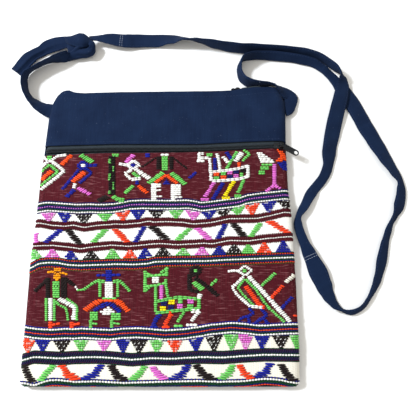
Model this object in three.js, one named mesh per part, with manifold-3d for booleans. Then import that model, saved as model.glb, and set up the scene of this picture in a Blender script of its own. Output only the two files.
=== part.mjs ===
// Woven crossbody bag, empty, lying face up with its strap laid loosely beside it.
// Millimetres. +Z up, +Y toward the mouth of the bag, +X toward the end of the front zip.
// The origin is under the middle of the flat back.
import * as THREE from 'three';
import { mergeVertices } from 'three/addons/utils/BufferGeometryUtils.js';
import Module from 'manifold-3d';

const wasm = await Module();
wasm.setup();

// Bag body
const BAG_WIDTH = 242;          // nominal width between the side seams
const BAG_BOTTOM = -143.5;      // y of the folded bottom edge
const EDGE_ROLL = 9;            // plan width of the rounded side and bottom edges
const CORNER_RADIUS = 6;        // rounding of the bottom corners in plan
const SEAM_HEIGHT = 4.7;        // height of the side seams over the floor
const FRONT_RISE = 5.4;         // how far the front stands above the seams
const PIECE_GAP = 0.3;          // clear gap between neighbouring pieces
const WOVEN_THICK = 1.8;        // hand-woven cloth with its floats
const NAVY_THICK = 1.5;         // plain navy cloth with its turned hems
const TAPE_THICK = 0.8;         // zip tape
const DOME = 0.7;               // soft swell over the middle of the front

// Zips
const TAPE_DEPTH = WOVEN_THICK + PIECE_GAP;   // tapes lie under the cloth edges
const TAPE_TUCK = 8;            // tape hidden under each cloth edge
const COIL_WIDTH = 4.4;
const COIL_THICK = 1.6;
const COIL_DROP = 0.2;          // coil top below the cloth surface
const COIL_SHIFT = -0.8;        // coil sits nearer the woven edge
const MOUTH_TAPE_DEPTH = NAVY_THICK + PIECE_GAP;
const MOUTH_TAPE_WIDTH = 9;
const MOUTH_SETBACK = 0.6;      // mouth tapes stop short of the hem
const MOUTH_COIL_HEIGHT = 4.4;
const MOUTH_COIL_THICK = 1.6;
const MOUTH_COIL_LOW = 2.9;     // underside of the mouth coil
const MOUTH_COIL_LEFT = -96;
const MOUTH_SLIDER_LEFT = 66;   // the mouth is open to the right of this slider
const MOUTH_SLIDER_LENGTH = 10;

// Slider and pull of the front zip
const SLIDER_CENTRE = { x: 111.9, y: 79.6 };
const SLIDER_LENGTH = 10.4;
const SLIDER_WIDTH = 6.4;
const SLIDER_PLATE = 1.2;
const SLIDER_BASE = 10.75;      // underside of the slider plate
const PIVOT = { x: 113.4, y: 79.2 };
const PIN_RADIUS = 0.5;
const EYE_BORE = 0.8;
const EYE_RADIUS = 1.5;
const EYE_HALF = 1.2;           // half the width of the eye along the pin
const LUG_THICK = 1.0;
const LUG_HALF = 1.3;           // half the lug along the pull
const LUG_TOP = 0.9;            // lug above the pin
const PULL_HEADING = THREE.MathUtils.degToRad(-26.8);
const PULL_DROOP = THREE.MathUtils.degToRad(8);
const PULL_LENGTH = 19.9;
const PULL_HALF = 2.9;
const PULL_THICK = 1.2;
const PULL_NECK = 2.7;          // narrow part clear of the lugs
const PULL_SHOULDER = 4.3;
const PULL_HOLE = 2.1;
const PULL_HOLE_AT = 16.9;

// Strap
const STRAP_THICK = 2.2;        // folded and pressed cloth
const STRAP_FLOOR = 0.2;        // lowest strap edge over the floor
const JOIN_GAP = 0.6;

const NAVY = 0x1d2b4a;
const MAROON = 0x5e1c28;
const ZIP_BLACK = 0x24292f;
const METAL_BLACK = 0x2a2c2e;

// Outline seen from above: x of each side by y.
const LEFT_EDGE = [
  { y: -138, x: -119.2 }, { y: -112, x: -119.9 }, { y: -43, x: -121.8 }, { y: 12, x: -121 },
  { y: 77, x: -120.4 }, { y: 112, x: -119.8 }, { y: 128, x: -117.7 }, { y: 136, x: -114.6 },
  { y: 142, x: -109.5 },
];
const RIGHT_EDGE = [
  { y: -138, x: 120.4 }, { y: -119, x: 121.3 }, { y: -59, x: 122.1 }, { y: 7, x: 122 },
  { y: 31, x: 120 }, { y: 76, x: 119.8 }, { y: 115, x: 121.2 }, { y: 130, x: 120.5 }, { y: 146, x: 116 },
];
// y of the mouth hem, of the band's folded edge over the zip and of the woven panel's edge below it.
const MOUTH_EDGE = [
  { x: -110, y: 142 },
  { x: -100, y: 140.2 },
  { x: -91, y: 138.8 },
  { x: -78, y: 139.2 },
  { x: -59, y: 139.8 },
  { x: 34, y: 141 },
  { x: 64, y: 142.2 },
  { x: 82, y: 145 },
  { x: 101, y: 146 },
  { x: 120, y: 145.6 },
];
const BAND_EDGE = [
  { x: -118, y: 79.8 }, { x: -55, y: 81.4 }, { x: 34, y: 81.3 }, { x: 84, y: 83.9 }, { x: 114, y: 85 },
];
const WOVEN_EDGE = [
  { x: -118, y: 69.9 }, { x: -64, y: 72 }, { x: 14, y: 72.6 }, { x: 54, y: 73.8 }, { x: 111, y: 76.8 },
];
// Soft folds standing up from the front: middle, heading, half length, half width and height.
const FOLDS = [
  { x: -78, y: 112, heading: 62, long: 26, wide: 7, high: 0.9 },
  { x: -30, y: 108, heading: 35, long: 30, wide: 8, high: 0.7 },
  { x: 48, y: 118, heading: -20, long: 34, wide: 9, high: 0.8 },
  { x: -60, y: 20, heading: 80, long: 40, wide: 12, high: 0.6 },
  { x: 40, y: -20, heading: 100, long: 50, wide: 14, high: 0.7 },
  { x: 70, y: -95, heading: 15, long: 30, wide: 10, high: 0.6 },
];

// Strap routes: middle of the strap, roll (left edge up, degrees), width and lift off the floor.
const STRAP_OUTER = [
  { x: 122.4, y: 124.6, roll: 0, width: 15.5, lift: 3 },
  { x: 125.4, y: 125.2, roll: 2, width: 15.5, lift: 2.4 },
  { x: 128, y: 128.4, roll: 4, width: 15.5, lift: 1.4 },
  { x: 129, y: 132.8, roll: 5, width: 15.5, lift: 0.6 },
  { x: 128.4, y: 136.8, roll: 6, width: 15, lift: 0.2 },
  { x: 126.4, y: 140.4, roll: 12, width: 13.5, lift: 0 },
  { x: 123.4, y: 144.2, roll: 22, width: 12, lift: 0 },
  { x: 117.8, y: 148.4, roll: 46, width: 12.5, lift: 0 },
  { x: 110.5, y: 150.4, roll: 66, width: 14.5, lift: 0 },
  { x: 101, y: 150.4, roll: 80, width: 16, lift: 0 },
  { x: 91, y: 150.4, roll: 88, width: 16.5, lift: 0 },
  { x: 83.5, y: 153.8, roll: 92, width: 16.5, lift: 0 },
  { x: 77, y: 159.4, roll: 92, width: 16.5, lift: 0 },
  { x: 74.4, y: 167, roll: 88, width: 16.5, lift: 0 },
  { x: 75.8, y: 175, roll: 99, width: 16.5, lift: 0 },
  { x: 82.4, y: 180.8, roll: 97, width: 16.5, lift: 0 },
  { x: 91, y: 183.4, roll: 87, width: 16, lift: 0 },
  { x: 100, y: 185, roll: 78, width: 14, lift: 0 },
  { x: 110, y: 185, roll: 68, width: 12, lift: 0 },
  { x: 129.2, y: 183.4, roll: 62, width: 11, lift: 0 },
  { x: 144, y: 180.6, roll: 56, width: 10.5, lift: 0 },
  { x: 154.4, y: 177.5, roll: 48, width: 9.8, lift: 0 },
  { x: 163.4, y: 171.6, roll: 32, width: 8.4, lift: 0 },
  { x: 171, y: 164.7, roll: 6, width: 9.4, lift: 0 },
  { x: 176.6, y: 157.2, roll: 3, width: 10.5, lift: 0 },
  { x: 184.6, y: 144.6, roll: 0, width: 16, lift: 0 },
  { x: 193.4, y: 127.8, roll: 0, width: 16.8, lift: 0 },
  { x: 201.8, y: 107.4, roll: 0, width: 16.4, lift: 0 },
  { x: 209.7, y: 89.6, roll: -6, width: 16.5, lift: 0 },
  { x: 218.4, y: 70, roll: -16, width: 16, lift: 0 },
  { x: 226, y: 55, roll: -22, width: 12, lift: 0 },
  { x: 231, y: 45, roll: -32, width: 8.5, lift: 0 },
  { x: 230.7, y: 35, roll: -24, width: 11.5, lift: 0 },
  { x: 227, y: 20.5, roll: -21, width: 12.5, lift: 0 },
  { x: 221.6, y: 9.4, roll: -37, width: 7.5, lift: 0 },
  { x: 217.6, y: 3, roll: -44, width: 6.5, lift: 0 },
  { x: 212.2, y: -8.6, roll: -33, width: 8.5, lift: 0 },
  { x: 208.2, y: -20.3, roll: -27, width: 10.5, lift: 0 },
  { x: 204, y: -34.5, roll: -23, width: 12, lift: 0 },
  { x: 198.7, y: -50.5, roll: -29, width: 9.5, lift: 0 },
  { x: 194.8, y: -58.7, roll: -39, width: 7.5, lift: 0 },
  { x: 188.5, y: -69, roll: -50, width: 6, lift: 0 },
  { x: 182.2, y: -76.4, roll: -48, width: 6, lift: 0 },
  { x: 173.2, y: -80.7, roll: -48, width: 6.5, lift: 0 },
  { x: 164.9, y: -78.8, roll: -78, width: 5, lift: 0 },
  { x: 158.2, y: -73.5, roll: -140, width: 7.5, lift: 0 },
  { x: 153, y: -65.5, roll: -158, width: 12, lift: 0 },
  { x: 148.9, y: -56, roll: -166, width: 16.5, lift: 0 },
  { x: 145.2, y: -44.4, roll: -178, width: 17, lift: 0 },
  { x: 138.2, y: -28.4, roll: -161, width: 14, lift: 0 },
];
const STRAP_INNER = [
  { x: 138.2, y: -28.4, roll: -161, width: 14, lift: 0 },
  { x: 132.4, y: -15.2, roll: -156, width: 11.5, lift: 0 },
  { x: 128, y: 0.6, roll: -154, width: 10.5, lift: 0 },
  { x: 128.8, y: 8.8, roll: -138, width: 7, lift: 0 },
  { x: 135.2, y: 19.3, roll: -151, width: 9.5, lift: 0 },
  { x: 142.2, y: 31.6, roll: -155, width: 11, lift: 0 },
  { x: 148.5, y: 39.8, roll: -155, width: 10.5, lift: 0 },
  { x: 155.4, y: 48.2, roll: -154, width: 10.5, lift: 0 },
  { x: 160.8, y: 60, roll: -156, width: 11.5, lift: 0 },
  { x: 163.3, y: 76.5, roll: -163, width: 15.5, lift: 0 },
  { x: 168.4, y: 98, roll: -168, width: 16.3, lift: 0.6 },
  { x: 174.8, y: 121.6, roll: -170, width: 16, lift: 2.4 },
  { x: 179.2, y: 136, roll: -172, width: 15.5, lift: 3.2 },
  { x: 182.2, y: 149.4, roll: -168, width: 14.5, lift: 3.4 },
  { x: 182.8, y: 156.6, roll: -144, width: 12.5, lift: 3.4 },
  { x: 180.8, y: 161.8, roll: -107, width: 12, lift: 3.4 },
  { x: 175.4, y: 168.4, roll: -90, width: 12.5, lift: 3.4 },
  { x: 168.6, y: 175.4, roll: -88, width: 13, lift: 2.2 },
  { x: 160.6, y: 181.6, roll: -85, width: 13.5, lift: 1 },
  { x: 151.6, y: 185.8, roll: -81, width: 13.5, lift: 0.3 },
  { x: 141.4, y: 188.2, roll: -78, width: 14, lift: 0 },
  { x: 123.4, y: 190.6, roll: -76, width: 14, lift: 0 },
  { x: 98.6, y: 191.8, roll: -78, width: 15, lift: 0 },
  { x: 74.8, y: 193, roll: -85, width: 16.5, lift: 0 },
  { x: 50, y: 197.6, roll: -92, width: 16.5, lift: 0 },
  { x: 33, y: 202.4, roll: -112, width: 16.5, lift: 0 },
  { x: 18, y: 205.6, roll: -128, width: 16.5, lift: 0 },
  { x: 3, y: 206.8, roll: -158, width: 16.5, lift: 0 },
  { x: -15, y: 206.8, roll: -178, width: 16.5, lift: 0 },
  { x: -36, y: 207, roll: -180, width: 16.5, lift: 0 },
  { x: -46, y: 207.2, roll: -180, width: 16.5, lift: 0.1 },
  { x: -54, y: 207.7, roll: -180, width: 15.6, lift: 0.4 },
  { x: -61, y: 208.4, roll: -178, width: 14.6, lift: 0.9 },
  { x: -67, y: 208.4, roll: -176, width: 13, lift: 1.8 },
  { x: -73, y: 207.6, roll: -172, width: 10, lift: 3 },
  { x: -79, y: 206.6, roll: -168, width: 7.5, lift: 4.6 },
];
const STRAP_LEFT = [
  { x: -121, y: 121.2, roll: 4, width: 16, lift: 3 },
  { x: -125, y: 122.8, roll: 18, width: 16, lift: 2 },
  { x: -129.4, y: 124.8, roll: 36, width: 16.5, lift: 0.4 },
  { x: -136.6, y: 130.2, roll: 57, width: 16.5, lift: 0 },
  { x: -143, y: 136.8, roll: 73, width: 16.5, lift: 0 },
  { x: -147, y: 144.6, roll: 82, width: 16.5, lift: 0 },
  { x: -148.8, y: 153.6, roll: 88, width: 16.5, lift: 0 },
  { x: -148.2, y: 160, roll: 97, width: 16.5, lift: 0 },
  { x: -145.2, y: 165.2, roll: 110, width: 16.5, lift: 0 },
  { x: -140, y: 169.8, roll: 116, width: 16.5, lift: 0 },
  { x: -133.8, y: 173.8, roll: 116, width: 16.5, lift: 0 },
  { x: -125.4, y: 178, roll: 108, width: 16.5, lift: 0 },
  { x: -117.8, y: 180.3, roll: 94, width: 16.5, lift: 0 },
  { x: -110.6, y: 182.6, roll: 78, width: 15, lift: 0 },
  { x: -106.4, y: 184.9, roll: 62, width: 11, lift: 1 },
];
const STRAP_TAIL = [
  { x: -109.2, y: 202.4, roll: -4, width: 13.5, lift: 4 },
  { x: -112, y: 202.4, roll: -8, width: 14, lift: 3 },
  { x: -121.2, y: 201, roll: -12, width: 15.5, lift: 1.2 },
  { x: -130, y: 198, roll: -14, width: 15, lift: 0.4 },
  { x: -137.1, y: 193, roll: -16, width: 12, lift: 0.2 },
  { x: -144, y: 188.6, roll: -14, width: 12.5, lift: 0 },
  { x: -149.4, y: 183.6, roll: -12, width: 14.5, lift: 0 },
  { x: -153.8, y: 177.6, roll: -10, width: 14.5, lift: 0 },
  { x: -161, y: 167.2, roll: -8, width: 13, lift: 0 },
];
// Knot, section by section toward the mouth: middle, half width and top height.
const KNOT_SECTIONS = [
  { y: 183.4, x: -93.5, half: 4, top: 6 },
  { y: 186.5, x: -94, half: 10.5, top: 11 },
  { y: 191, x: -94.2, half: 13.6, top: 14 },
  { y: 197, x: -94, half: 14.4, top: 15 },
  { y: 203, x: -93.4, half: 13.8, top: 14.5 },
  { y: 208.5, x: -92.6, half: 9.6, top: 12 },
  { y: 212.8, x: -92.6, half: 3.6, top: 7 },
];
const KNOT_SIDES = 14;
const KNOT_FLOOR = 0.2;

const rad = THREE.MathUtils.degToRad;
const lerp = THREE.MathUtils.lerp;

// Value of one column of a table at a place along another column.
function read(table, by, place, column) {
  const last = table.length - 1;
  if (place <= table[0][by]) return table[0][column];
  for (let i = 0; i < last; i += 1) {
    const here = table[i];
    const next = table[i + 1];
    if (place <= next[by]) {
      return lerp(here[column], next[column], (place - here[by]) / (next[by] - here[by]));
    }
  }
  return table[last][column];
}

function solid(points, triangles) {
  const geometry = new THREE.BufferGeometry();
  geometry.setAttribute('position', new THREE.Float32BufferAttribute(points.flatMap((p) => [p.x, p.y, p.z]), 3));
  geometry.setIndex(triangles.flat());
  return geometry;
}

// Height of the soft swell and folds over the flat of the front.
function softness(x, y) {
  const across = x / (BAG_WIDTH / 2);
  const along = y / BAG_BOTTOM;
  let high = DOME * Math.max(0, 1 - across * across) * Math.max(0, 1 - along * along);
  for (const fold of FOLDS) {
    const turn = rad(fold.heading);
    const u = ((x - fold.x) * Math.cos(turn) + (y - fold.y) * Math.sin(turn)) / fold.long;
    const v = ((y - fold.y) * Math.cos(turn) - (x - fold.x) * Math.sin(turn)) / fold.wide;
    high += fold.high * Math.exp(-u * u - v * v);
  }
  return high;
}

// Stations across the bag: share of the flat width, and turn over the side edge.
function stations(flatSteps, rollSteps, reach = Math.PI / 2) {
  const list = [];
  for (let i = rollSteps; i > 0; i -= 1) list.push({ share: 0, turn: (-reach * i) / rollSteps });
  for (let i = 0; i <= flatSteps; i += 1) list.push({ share: i / flatSteps, turn: 0 });
  for (let i = 1; i <= rollSteps; i += 1) list.push({ share: 1, turn: (reach * i) / rollSteps });
  return list;
}

const nominalX = (station) => lerp(-BAG_WIDTH / 2, BAG_WIDTH / 2, station.share);

// Outer surface of the front (side +1) or back (side -1) with its outward normal.
function skin(side, station, row) {
  const toBottom = row.y - BAG_BOTTOM;
  const inCorner = Math.max(0, CORNER_RADIUS - toBottom);
  const inset = CORNER_RADIUS - Math.sqrt(CORNER_RADIUS ** 2 - inCorner ** 2);
  const left = read(LEFT_EDGE, 'y', row.y, 'x') + inset + EDGE_ROLL;
  const right = read(RIGHT_EDGE, 'y', row.y, 'x') - inset - EDGE_ROLL;
  const x = lerp(left, right, station.share) + EDGE_ROLL * Math.sin(station.turn);
  const flat = Math.cos(station.turn) * Math.cos(row.turn);
  const rise = side > 0 ? FRONT_RISE : SEAM_HEIGHT - PIECE_GAP / 2;
  const soft = side > 0 ? softness(x, row.y) : 0;
  const point = new THREE.Vector3(x, row.y, SEAM_HEIGHT + side * (PIECE_GAP / 2 + (rise + soft) * flat));
  const normal = new THREE.Vector3(
    rise * Math.sin(station.turn), rise * Math.sin(row.turn), side * EDGE_ROLL * flat).normalize();
  return { point, normal };
}

// Closed cloth sheet between two depths under the outer surface.
function sheet(side, across, rowsAt, near, far) {
  const points = [];
  const rows = rowsAt(across[0]).length;
  for (const depth of [near, far]) {
    for (const station of across) {
      for (const row of rowsAt(station)) {
        const { point, normal } = skin(side, station, row);
        points.push(point.addScaledVector(normal, -depth));
      }
    }
  }
  const inner = across.length * rows;
  const at = (i, j) => i * rows + j;
  const triangles = [];
  const quad = (a, b, c, d) => triangles.push([a, b, c], [a, c, d]);
  const lastI = across.length - 1;
  const lastJ = rows - 1;
  for (let i = 0; i < lastI; i += 1) {
    for (let j = 0; j < lastJ; j += 1) {
      quad(at(i, j), at(i + 1, j), at(i + 1, j + 1), at(i, j + 1));
      quad(inner + at(i, j), inner + at(i, j + 1), inner + at(i + 1, j + 1), inner + at(i + 1, j));
    }
    quad(at(i, 0), inner + at(i, 0), inner + at(i + 1, 0), at(i + 1, 0));
    quad(at(i, lastJ), at(i + 1, lastJ), inner + at(i + 1, lastJ), inner + at(i, lastJ));
  }
  for (let j = 0; j < lastJ; j += 1) {
    quad(at(0, j), at(0, j + 1), inner + at(0, j + 1), inner + at(0, j));
    quad(at(lastI, j), inner + at(lastI, j), inner + at(lastI, j + 1), at(lastI, j + 1));
  }
  return solid(points, side > 0 ? triangles : triangles.map(([a, b, c]) => [a, c, b]));
}

// Rows up the bag between two heights, evenly spaced and flat.
function rowsBetween(low, high, steps) {
  return Array.from({ length: steps + 1 }, (_, j) => ({ y: lerp(low, high, j / steps), turn: 0 }));
}

// Rows that start at the folded bottom edge and climb over its roll to a height.
function rowsFromBottom(high, steps, rollSteps) {
  const list = [];
  for (let j = rollSteps; j > 0; j -= 1) {
    const turn = (-Math.PI / 2) * (j / rollSteps);
    list.push({ y: BAG_BOTTOM + EDGE_ROLL * (1 + Math.sin(turn)), turn });
  }
  return list.concat(rowsBetween(BAG_BOTTOM + EDGE_ROLL, high, steps));
}

// Closed loft through rings of equal count, ends filled with fans.
function loft(rings) {
  const sides = rings[0].length;
  const points = rings.flat();
  const triangles = [];
  for (let i = 0; i + 1 < rings.length; i += 1) {
    for (let k = 0; k < sides; k += 1) {
      const a = i * sides + k;
      const b = i * sides + ((k + 1) % sides);
      triangles.push([a, b, b + sides], [a, b + sides, a + sides]);
    }
  }
  const end = (rings.length - 1) * sides;
  for (let k = 1; k + 1 < sides; k += 1) {
    triangles.push([0, k + 1, k], [end, end + k, end + k + 1]);
  }
  return solid(points, triangles);
}

// Flat strap along its route, turned about its own middle line by the roll.
function strap(route, steps, trimStart = 0, trimEnd = 0) {
  const curve = new THREE.CatmullRomCurve3(route.map((r) => new THREE.Vector3(r.x, r.y, 0)), false, 'centripetal');
  const from = trimStart / curve.getLength();
  const to = 1 - trimEnd / curve.getLength();
  const rings = [];
  for (let i = 0; i <= steps; i += 1) {
    const t = curve.getUtoTmapping(lerp(from, to, i / steps));
    const place = t * (route.length - 1);
    const here = Math.min(Math.floor(place), route.length - 2);
    const share = THREE.MathUtils.smoothstep(place - here, 0, 1);
    const value = (column) => lerp(route[here][column], route[here + 1][column], share);
    const roll = rad(value('roll'));
    const half = value('width') / 2;
    const thin = STRAP_THICK / 2;
    const middle = curve.getPoint(t);
    middle.z = STRAP_FLOOR + value('lift') + Math.abs(Math.sin(roll)) * half + Math.abs(Math.cos(roll)) * thin;
    const heading = curve.getTangent(t);
    const left = new THREE.Vector3(-heading.y, heading.x, 0);
    const wide = left.clone().multiplyScalar(Math.cos(roll)).setZ(Math.sin(roll));
    const thick = new THREE.Vector3().crossVectors(heading, wide);
    const section = [
      [half, thin / 2], [half - thin / 2, thin], [thin / 2 - half, thin], [-half, thin / 2],
      [-half, -thin / 2], [thin / 2 - half, -thin], [half - thin / 2, -thin], [half, -thin / 2],
    ];
    rings.push(section.map(([w, h]) => middle.clone().addScaledVector(wide, w).addScaledVector(thick, h)));
  }
  return loft(rings);
}

function knot() {
  const rings = KNOT_SECTIONS.map((s) => Array.from({ length: KNOT_SIDES }, (_, k) => {
    const turn = (2 * Math.PI * k) / KNOT_SIDES;
    const high = (s.top - KNOT_FLOOR) / 2;
    return new THREE.Vector3(s.x + s.half * Math.sin(turn), s.y, KNOT_FLOOR + high - high * Math.cos(turn));
  }));
  return loft(rings.map((ring) => ring.reverse()));
}

// Strip along the mouth, a box section that follows the hem.
function mouthStrip(left, right, low, high, back, front, steps) {
  const rings = [];
  for (let i = 0; i <= steps; i += 1) {
    const x = lerp(left, right, i / steps);
    const hem = read(MOUTH_EDGE, 'x', x, 'y');
    rings.push([[back, low], [front, low], [front, high], [back, high]].map(
      ([y, z]) => new THREE.Vector3(x, hem + y, z)));
  }
  return loft(rings);
}

function toManifold(geometry) {
  geometry.deleteAttribute('normal');
  geometry.deleteAttribute('uv');
  const merged = mergeVertices(geometry, 1e-4);
  return new wasm.Manifold(new wasm.Mesh({
    numProp: 3,
    vertProperties: new Float32Array(merged.attributes.position.array),
    triVerts: new Uint32Array(merged.index.array),
  }));
}

function fromManifold(body) {
  const mesh = body.getMesh();
  const geometry = new THREE.BufferGeometry();
  geometry.setAttribute('position', new THREE.BufferAttribute(new Float32Array(mesh.vertProperties), 3));
  geometry.setIndex(Array.from(mesh.triVerts));
  return geometry;
}

// Frame at the pin: x along the pull, y along the pin, z out of the pull's face.
function pinFrame(droop) {
  const along = new THREE.Vector3(
    Math.cos(PULL_HEADING) * Math.cos(droop), Math.sin(PULL_HEADING) * Math.cos(droop), -Math.sin(droop));
  const pin = new THREE.Vector3(-Math.sin(PULL_HEADING), Math.cos(PULL_HEADING), 0);
  const out = new THREE.Vector3().crossVectors(along, pin);
  const high = SLIDER_BASE + SLIDER_PLATE + EYE_RADIUS + PIECE_GAP;
  return new THREE.Matrix4().makeBasis(along, pin, out).setPosition(PIVOT.x, PIVOT.y, high);
}

function frontSlider() {
  const halfL = SLIDER_LENGTH / 2;
  const halfW = SLIDER_WIDTH / 2;
  const nose = halfW * 0.7;
  const plan = new THREE.Shape();
  plan.moveTo(-halfL, -nose);
  plan.lineTo(-halfL + nose, -halfW);
  plan.lineTo(halfL - nose, -halfW);
  plan.lineTo(halfL, -nose);
  plan.lineTo(halfL, nose);
  plan.lineTo(halfL - nose, halfW);
  plan.lineTo(-halfL + nose, halfW);
  plan.lineTo(-halfL, nose);
  const plate = new THREE.ExtrudeGeometry(plan, { depth: SLIDER_PLATE, bevelEnabled: false });
  plate.translate(SLIDER_CENTRE.x, SLIDER_CENTRE.y, SLIDER_BASE);
  let body = toManifold(plate);
  const level = pinFrame(0);
  const sink = SLIDER_PLATE / 2;
  const lugHigh = EYE_RADIUS + PIECE_GAP + sink + LUG_TOP;
  for (const hand of [-1, 1]) {
    const lug = new THREE.BoxGeometry(2 * LUG_HALF, LUG_THICK, lugHigh);
    lug.translate(0, hand * (EYE_HALF + PIECE_GAP + LUG_THICK / 2), LUG_TOP - lugHigh / 2);
    body = body.add(toManifold(lug.applyMatrix4(level)));
  }
  const pinHalf = EYE_HALF + PIECE_GAP + LUG_THICK / 2;
  const pin = new THREE.CylinderGeometry(PIN_RADIUS, PIN_RADIUS, 2 * pinHalf, 12);
  return fromManifold(body.add(toManifold(pin.applyMatrix4(level))));
}

function frontPull() {
  const tipAt = PULL_LENGTH - PULL_HALF;
  const plan = new THREE.Shape();
  plan.moveTo(EYE_BORE + PIECE_GAP / 2, -EYE_HALF);
  plan.lineTo(PULL_NECK, -EYE_HALF);
  plan.lineTo(PULL_SHOULDER, -PULL_HALF);
  plan.lineTo(tipAt, -PULL_HALF);
  plan.absarc(tipAt, 0, PULL_HALF, -Math.PI / 2, Math.PI / 2, false);
  plan.lineTo(PULL_SHOULDER, PULL_HALF);
  plan.lineTo(PULL_NECK, EYE_HALF);
  plan.lineTo(EYE_BORE + PIECE_GAP / 2, EYE_HALF);
  const hole = new THREE.Path();
  hole.absarc(PULL_HOLE_AT, 0, PULL_HOLE, 0, 2 * Math.PI, true);
  plan.holes.push(hole);
  const tab = new THREE.ExtrudeGeometry(plan, { depth: PULL_THICK, bevelEnabled: false, curveSegments: 10 });
  tab.translate(0, 0, -PULL_THICK / 2);
  const ring = new THREE.CylinderGeometry(EYE_RADIUS, EYE_RADIUS, 2 * EYE_HALF, 16);
  const bore = new THREE.CylinderGeometry(EYE_BORE, EYE_BORE, 4 * EYE_HALF, 16);
  const body = toManifold(tab).add(toManifold(ring)).subtract(toManifold(bore));
  return fromManifold(body).applyMatrix4(pinFrame(PULL_DROOP));
}

// Heights of the zip lines at a station across the bag.
const bandEdge = (station) => read(BAND_EDGE, 'x', nominalX(station), 'y');
const wovenEdge = (station) => read(WOVEN_EDGE, 'x', nominalX(station), 'y');
const mouthEdge = (station) => read(MOUTH_EDGE, 'x', nominalX(station), 'y');
const coilMiddle = (station) => (bandEdge(station) + wovenEdge(station)) / 2 + COIL_SHIFT;

const panelAcross = stations(18, 3);
const tapeAcross = stations(12, 3);
const coilAcross = stations(16, 2, rad(50));
const mouthAcross = stations(12, 0);

const bag = new THREE.Group();
bag.name = 'woven_crossbody_bag';

function piece(name, geometry, color, roughness, metalness = 0) {
  const mesh = new THREE.Mesh(geometry, new THREE.MeshStandardMaterial({ color, roughness, metalness }));
  mesh.name = name;
  bag.add(mesh);
}

const navy = (name, geometry) => piece(name, geometry, NAVY, 0.9);
const zipTape = (name, geometry) => piece(name, geometry, ZIP_BLACK, 0.8);

navy('back_panel', sheet(-1, panelAcross, (s) => rowsFromBottom(mouthEdge(s), 16, 3), 0, NAVY_THICK));
navy('front_band', sheet(1, panelAcross, (s) => rowsBetween(bandEdge(s), mouthEdge(s), 7), 0, NAVY_THICK));
piece('woven_panel', sheet(1, panelAcross, (s) => rowsFromBottom(wovenEdge(s), 16, 3), 0, WOVEN_THICK), MAROON, 0.95);

zipTape('front_zip_tape_upper', sheet(1, tapeAcross,
  (s) => rowsBetween(coilMiddle(s) + PIECE_GAP / 2, bandEdge(s) + TAPE_TUCK, 2), TAPE_DEPTH, TAPE_DEPTH + TAPE_THICK));
zipTape('front_zip_tape_lower', sheet(1, tapeAcross,
  (s) => rowsBetween(wovenEdge(s) - TAPE_TUCK, coilMiddle(s) - PIECE_GAP / 2, 2), TAPE_DEPTH, TAPE_DEPTH + TAPE_THICK));
piece('front_zip_coil', sheet(1, coilAcross,
  (s) => rowsBetween(coilMiddle(s) - COIL_WIDTH / 2, coilMiddle(s) + COIL_WIDTH / 2, 1),
  COIL_DROP, COIL_DROP + COIL_THICK), ZIP_BLACK, 0.5);
piece('front_zip_slider', frontSlider(), METAL_BLACK, 0.4, 0.3);
piece('front_zip_pull', frontPull(), METAL_BLACK, 0.4, 0.3);

const mouthRows = (s) => rowsBetween(mouthEdge(s) - MOUTH_TAPE_WIDTH, mouthEdge(s) - MOUTH_SETBACK, 2);
zipTape('top_zip_tape_front', sheet(1, mouthAcross, mouthRows, MOUTH_TAPE_DEPTH, MOUTH_TAPE_DEPTH + TAPE_THICK));
zipTape('top_zip_tape_back', sheet(-1, mouthAcross, mouthRows, MOUTH_TAPE_DEPTH, MOUTH_TAPE_DEPTH + TAPE_THICK));
const coilHigh = MOUTH_COIL_LOW + MOUTH_COIL_HEIGHT;
const coilFront = -MOUTH_COIL_THICK;
piece('top_zip_coil', mouthStrip(MOUTH_COIL_LEFT, MOUTH_SLIDER_LEFT - PIECE_GAP, MOUTH_COIL_LOW, coilHigh,
  coilFront - MOUTH_COIL_THICK, coilFront, 14), ZIP_BLACK, 0.5);
piece('top_zip_slider', mouthStrip(MOUTH_SLIDER_LEFT, MOUTH_SLIDER_LEFT + MOUTH_SLIDER_LENGTH, MOUTH_COIL_LOW,
  coilHigh, -2 * MOUTH_COIL_THICK, MOUTH_COIL_THICK, 1), METAL_BLACK, 0.4, 0.3);

navy('strap_left', strap(STRAP_LEFT, 28, 0, 0));
navy('strap_knot', knot());
navy('strap_tail', strap(STRAP_TAIL, 16));
navy('strap_inner_run', strap(STRAP_INNER, 56, JOIN_GAP / 2, 0));
navy('strap_outer_run', strap(STRAP_OUTER, 84, 0, JOIN_GAP / 2));

export default bag;
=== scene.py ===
# %% [markdown]
# # A woven crossbody bag
# A flat cloth bag lies face up on a pale floor, with its navy strap laid loosely beside it. Its front is
# hand-woven in wool: maroon ground, striped bands and brocaded birds, riders and animals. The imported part
# gives the frame. Everything soft is rebuilt here as cloth and thread that fits into that frame.

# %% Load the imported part
import math
from collections import namedtuple

import bpy
import numpy as np
from mathutils import Matrix


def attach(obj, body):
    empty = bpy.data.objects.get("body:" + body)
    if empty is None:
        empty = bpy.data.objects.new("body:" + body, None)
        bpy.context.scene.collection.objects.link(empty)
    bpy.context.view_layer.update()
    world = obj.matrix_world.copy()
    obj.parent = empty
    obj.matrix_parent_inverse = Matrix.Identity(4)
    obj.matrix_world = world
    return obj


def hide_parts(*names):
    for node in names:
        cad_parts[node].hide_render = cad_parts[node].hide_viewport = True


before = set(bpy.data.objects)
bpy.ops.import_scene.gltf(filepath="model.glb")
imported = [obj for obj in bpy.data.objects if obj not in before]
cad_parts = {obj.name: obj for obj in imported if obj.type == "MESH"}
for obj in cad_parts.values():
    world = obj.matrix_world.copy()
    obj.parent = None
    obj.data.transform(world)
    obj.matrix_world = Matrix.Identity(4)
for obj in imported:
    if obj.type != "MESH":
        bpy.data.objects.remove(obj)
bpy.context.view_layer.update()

MM = 0.001
bpy.ops.object.select_all(action="DESELECT")
print("nodes in the frame:", len(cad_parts))

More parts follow.
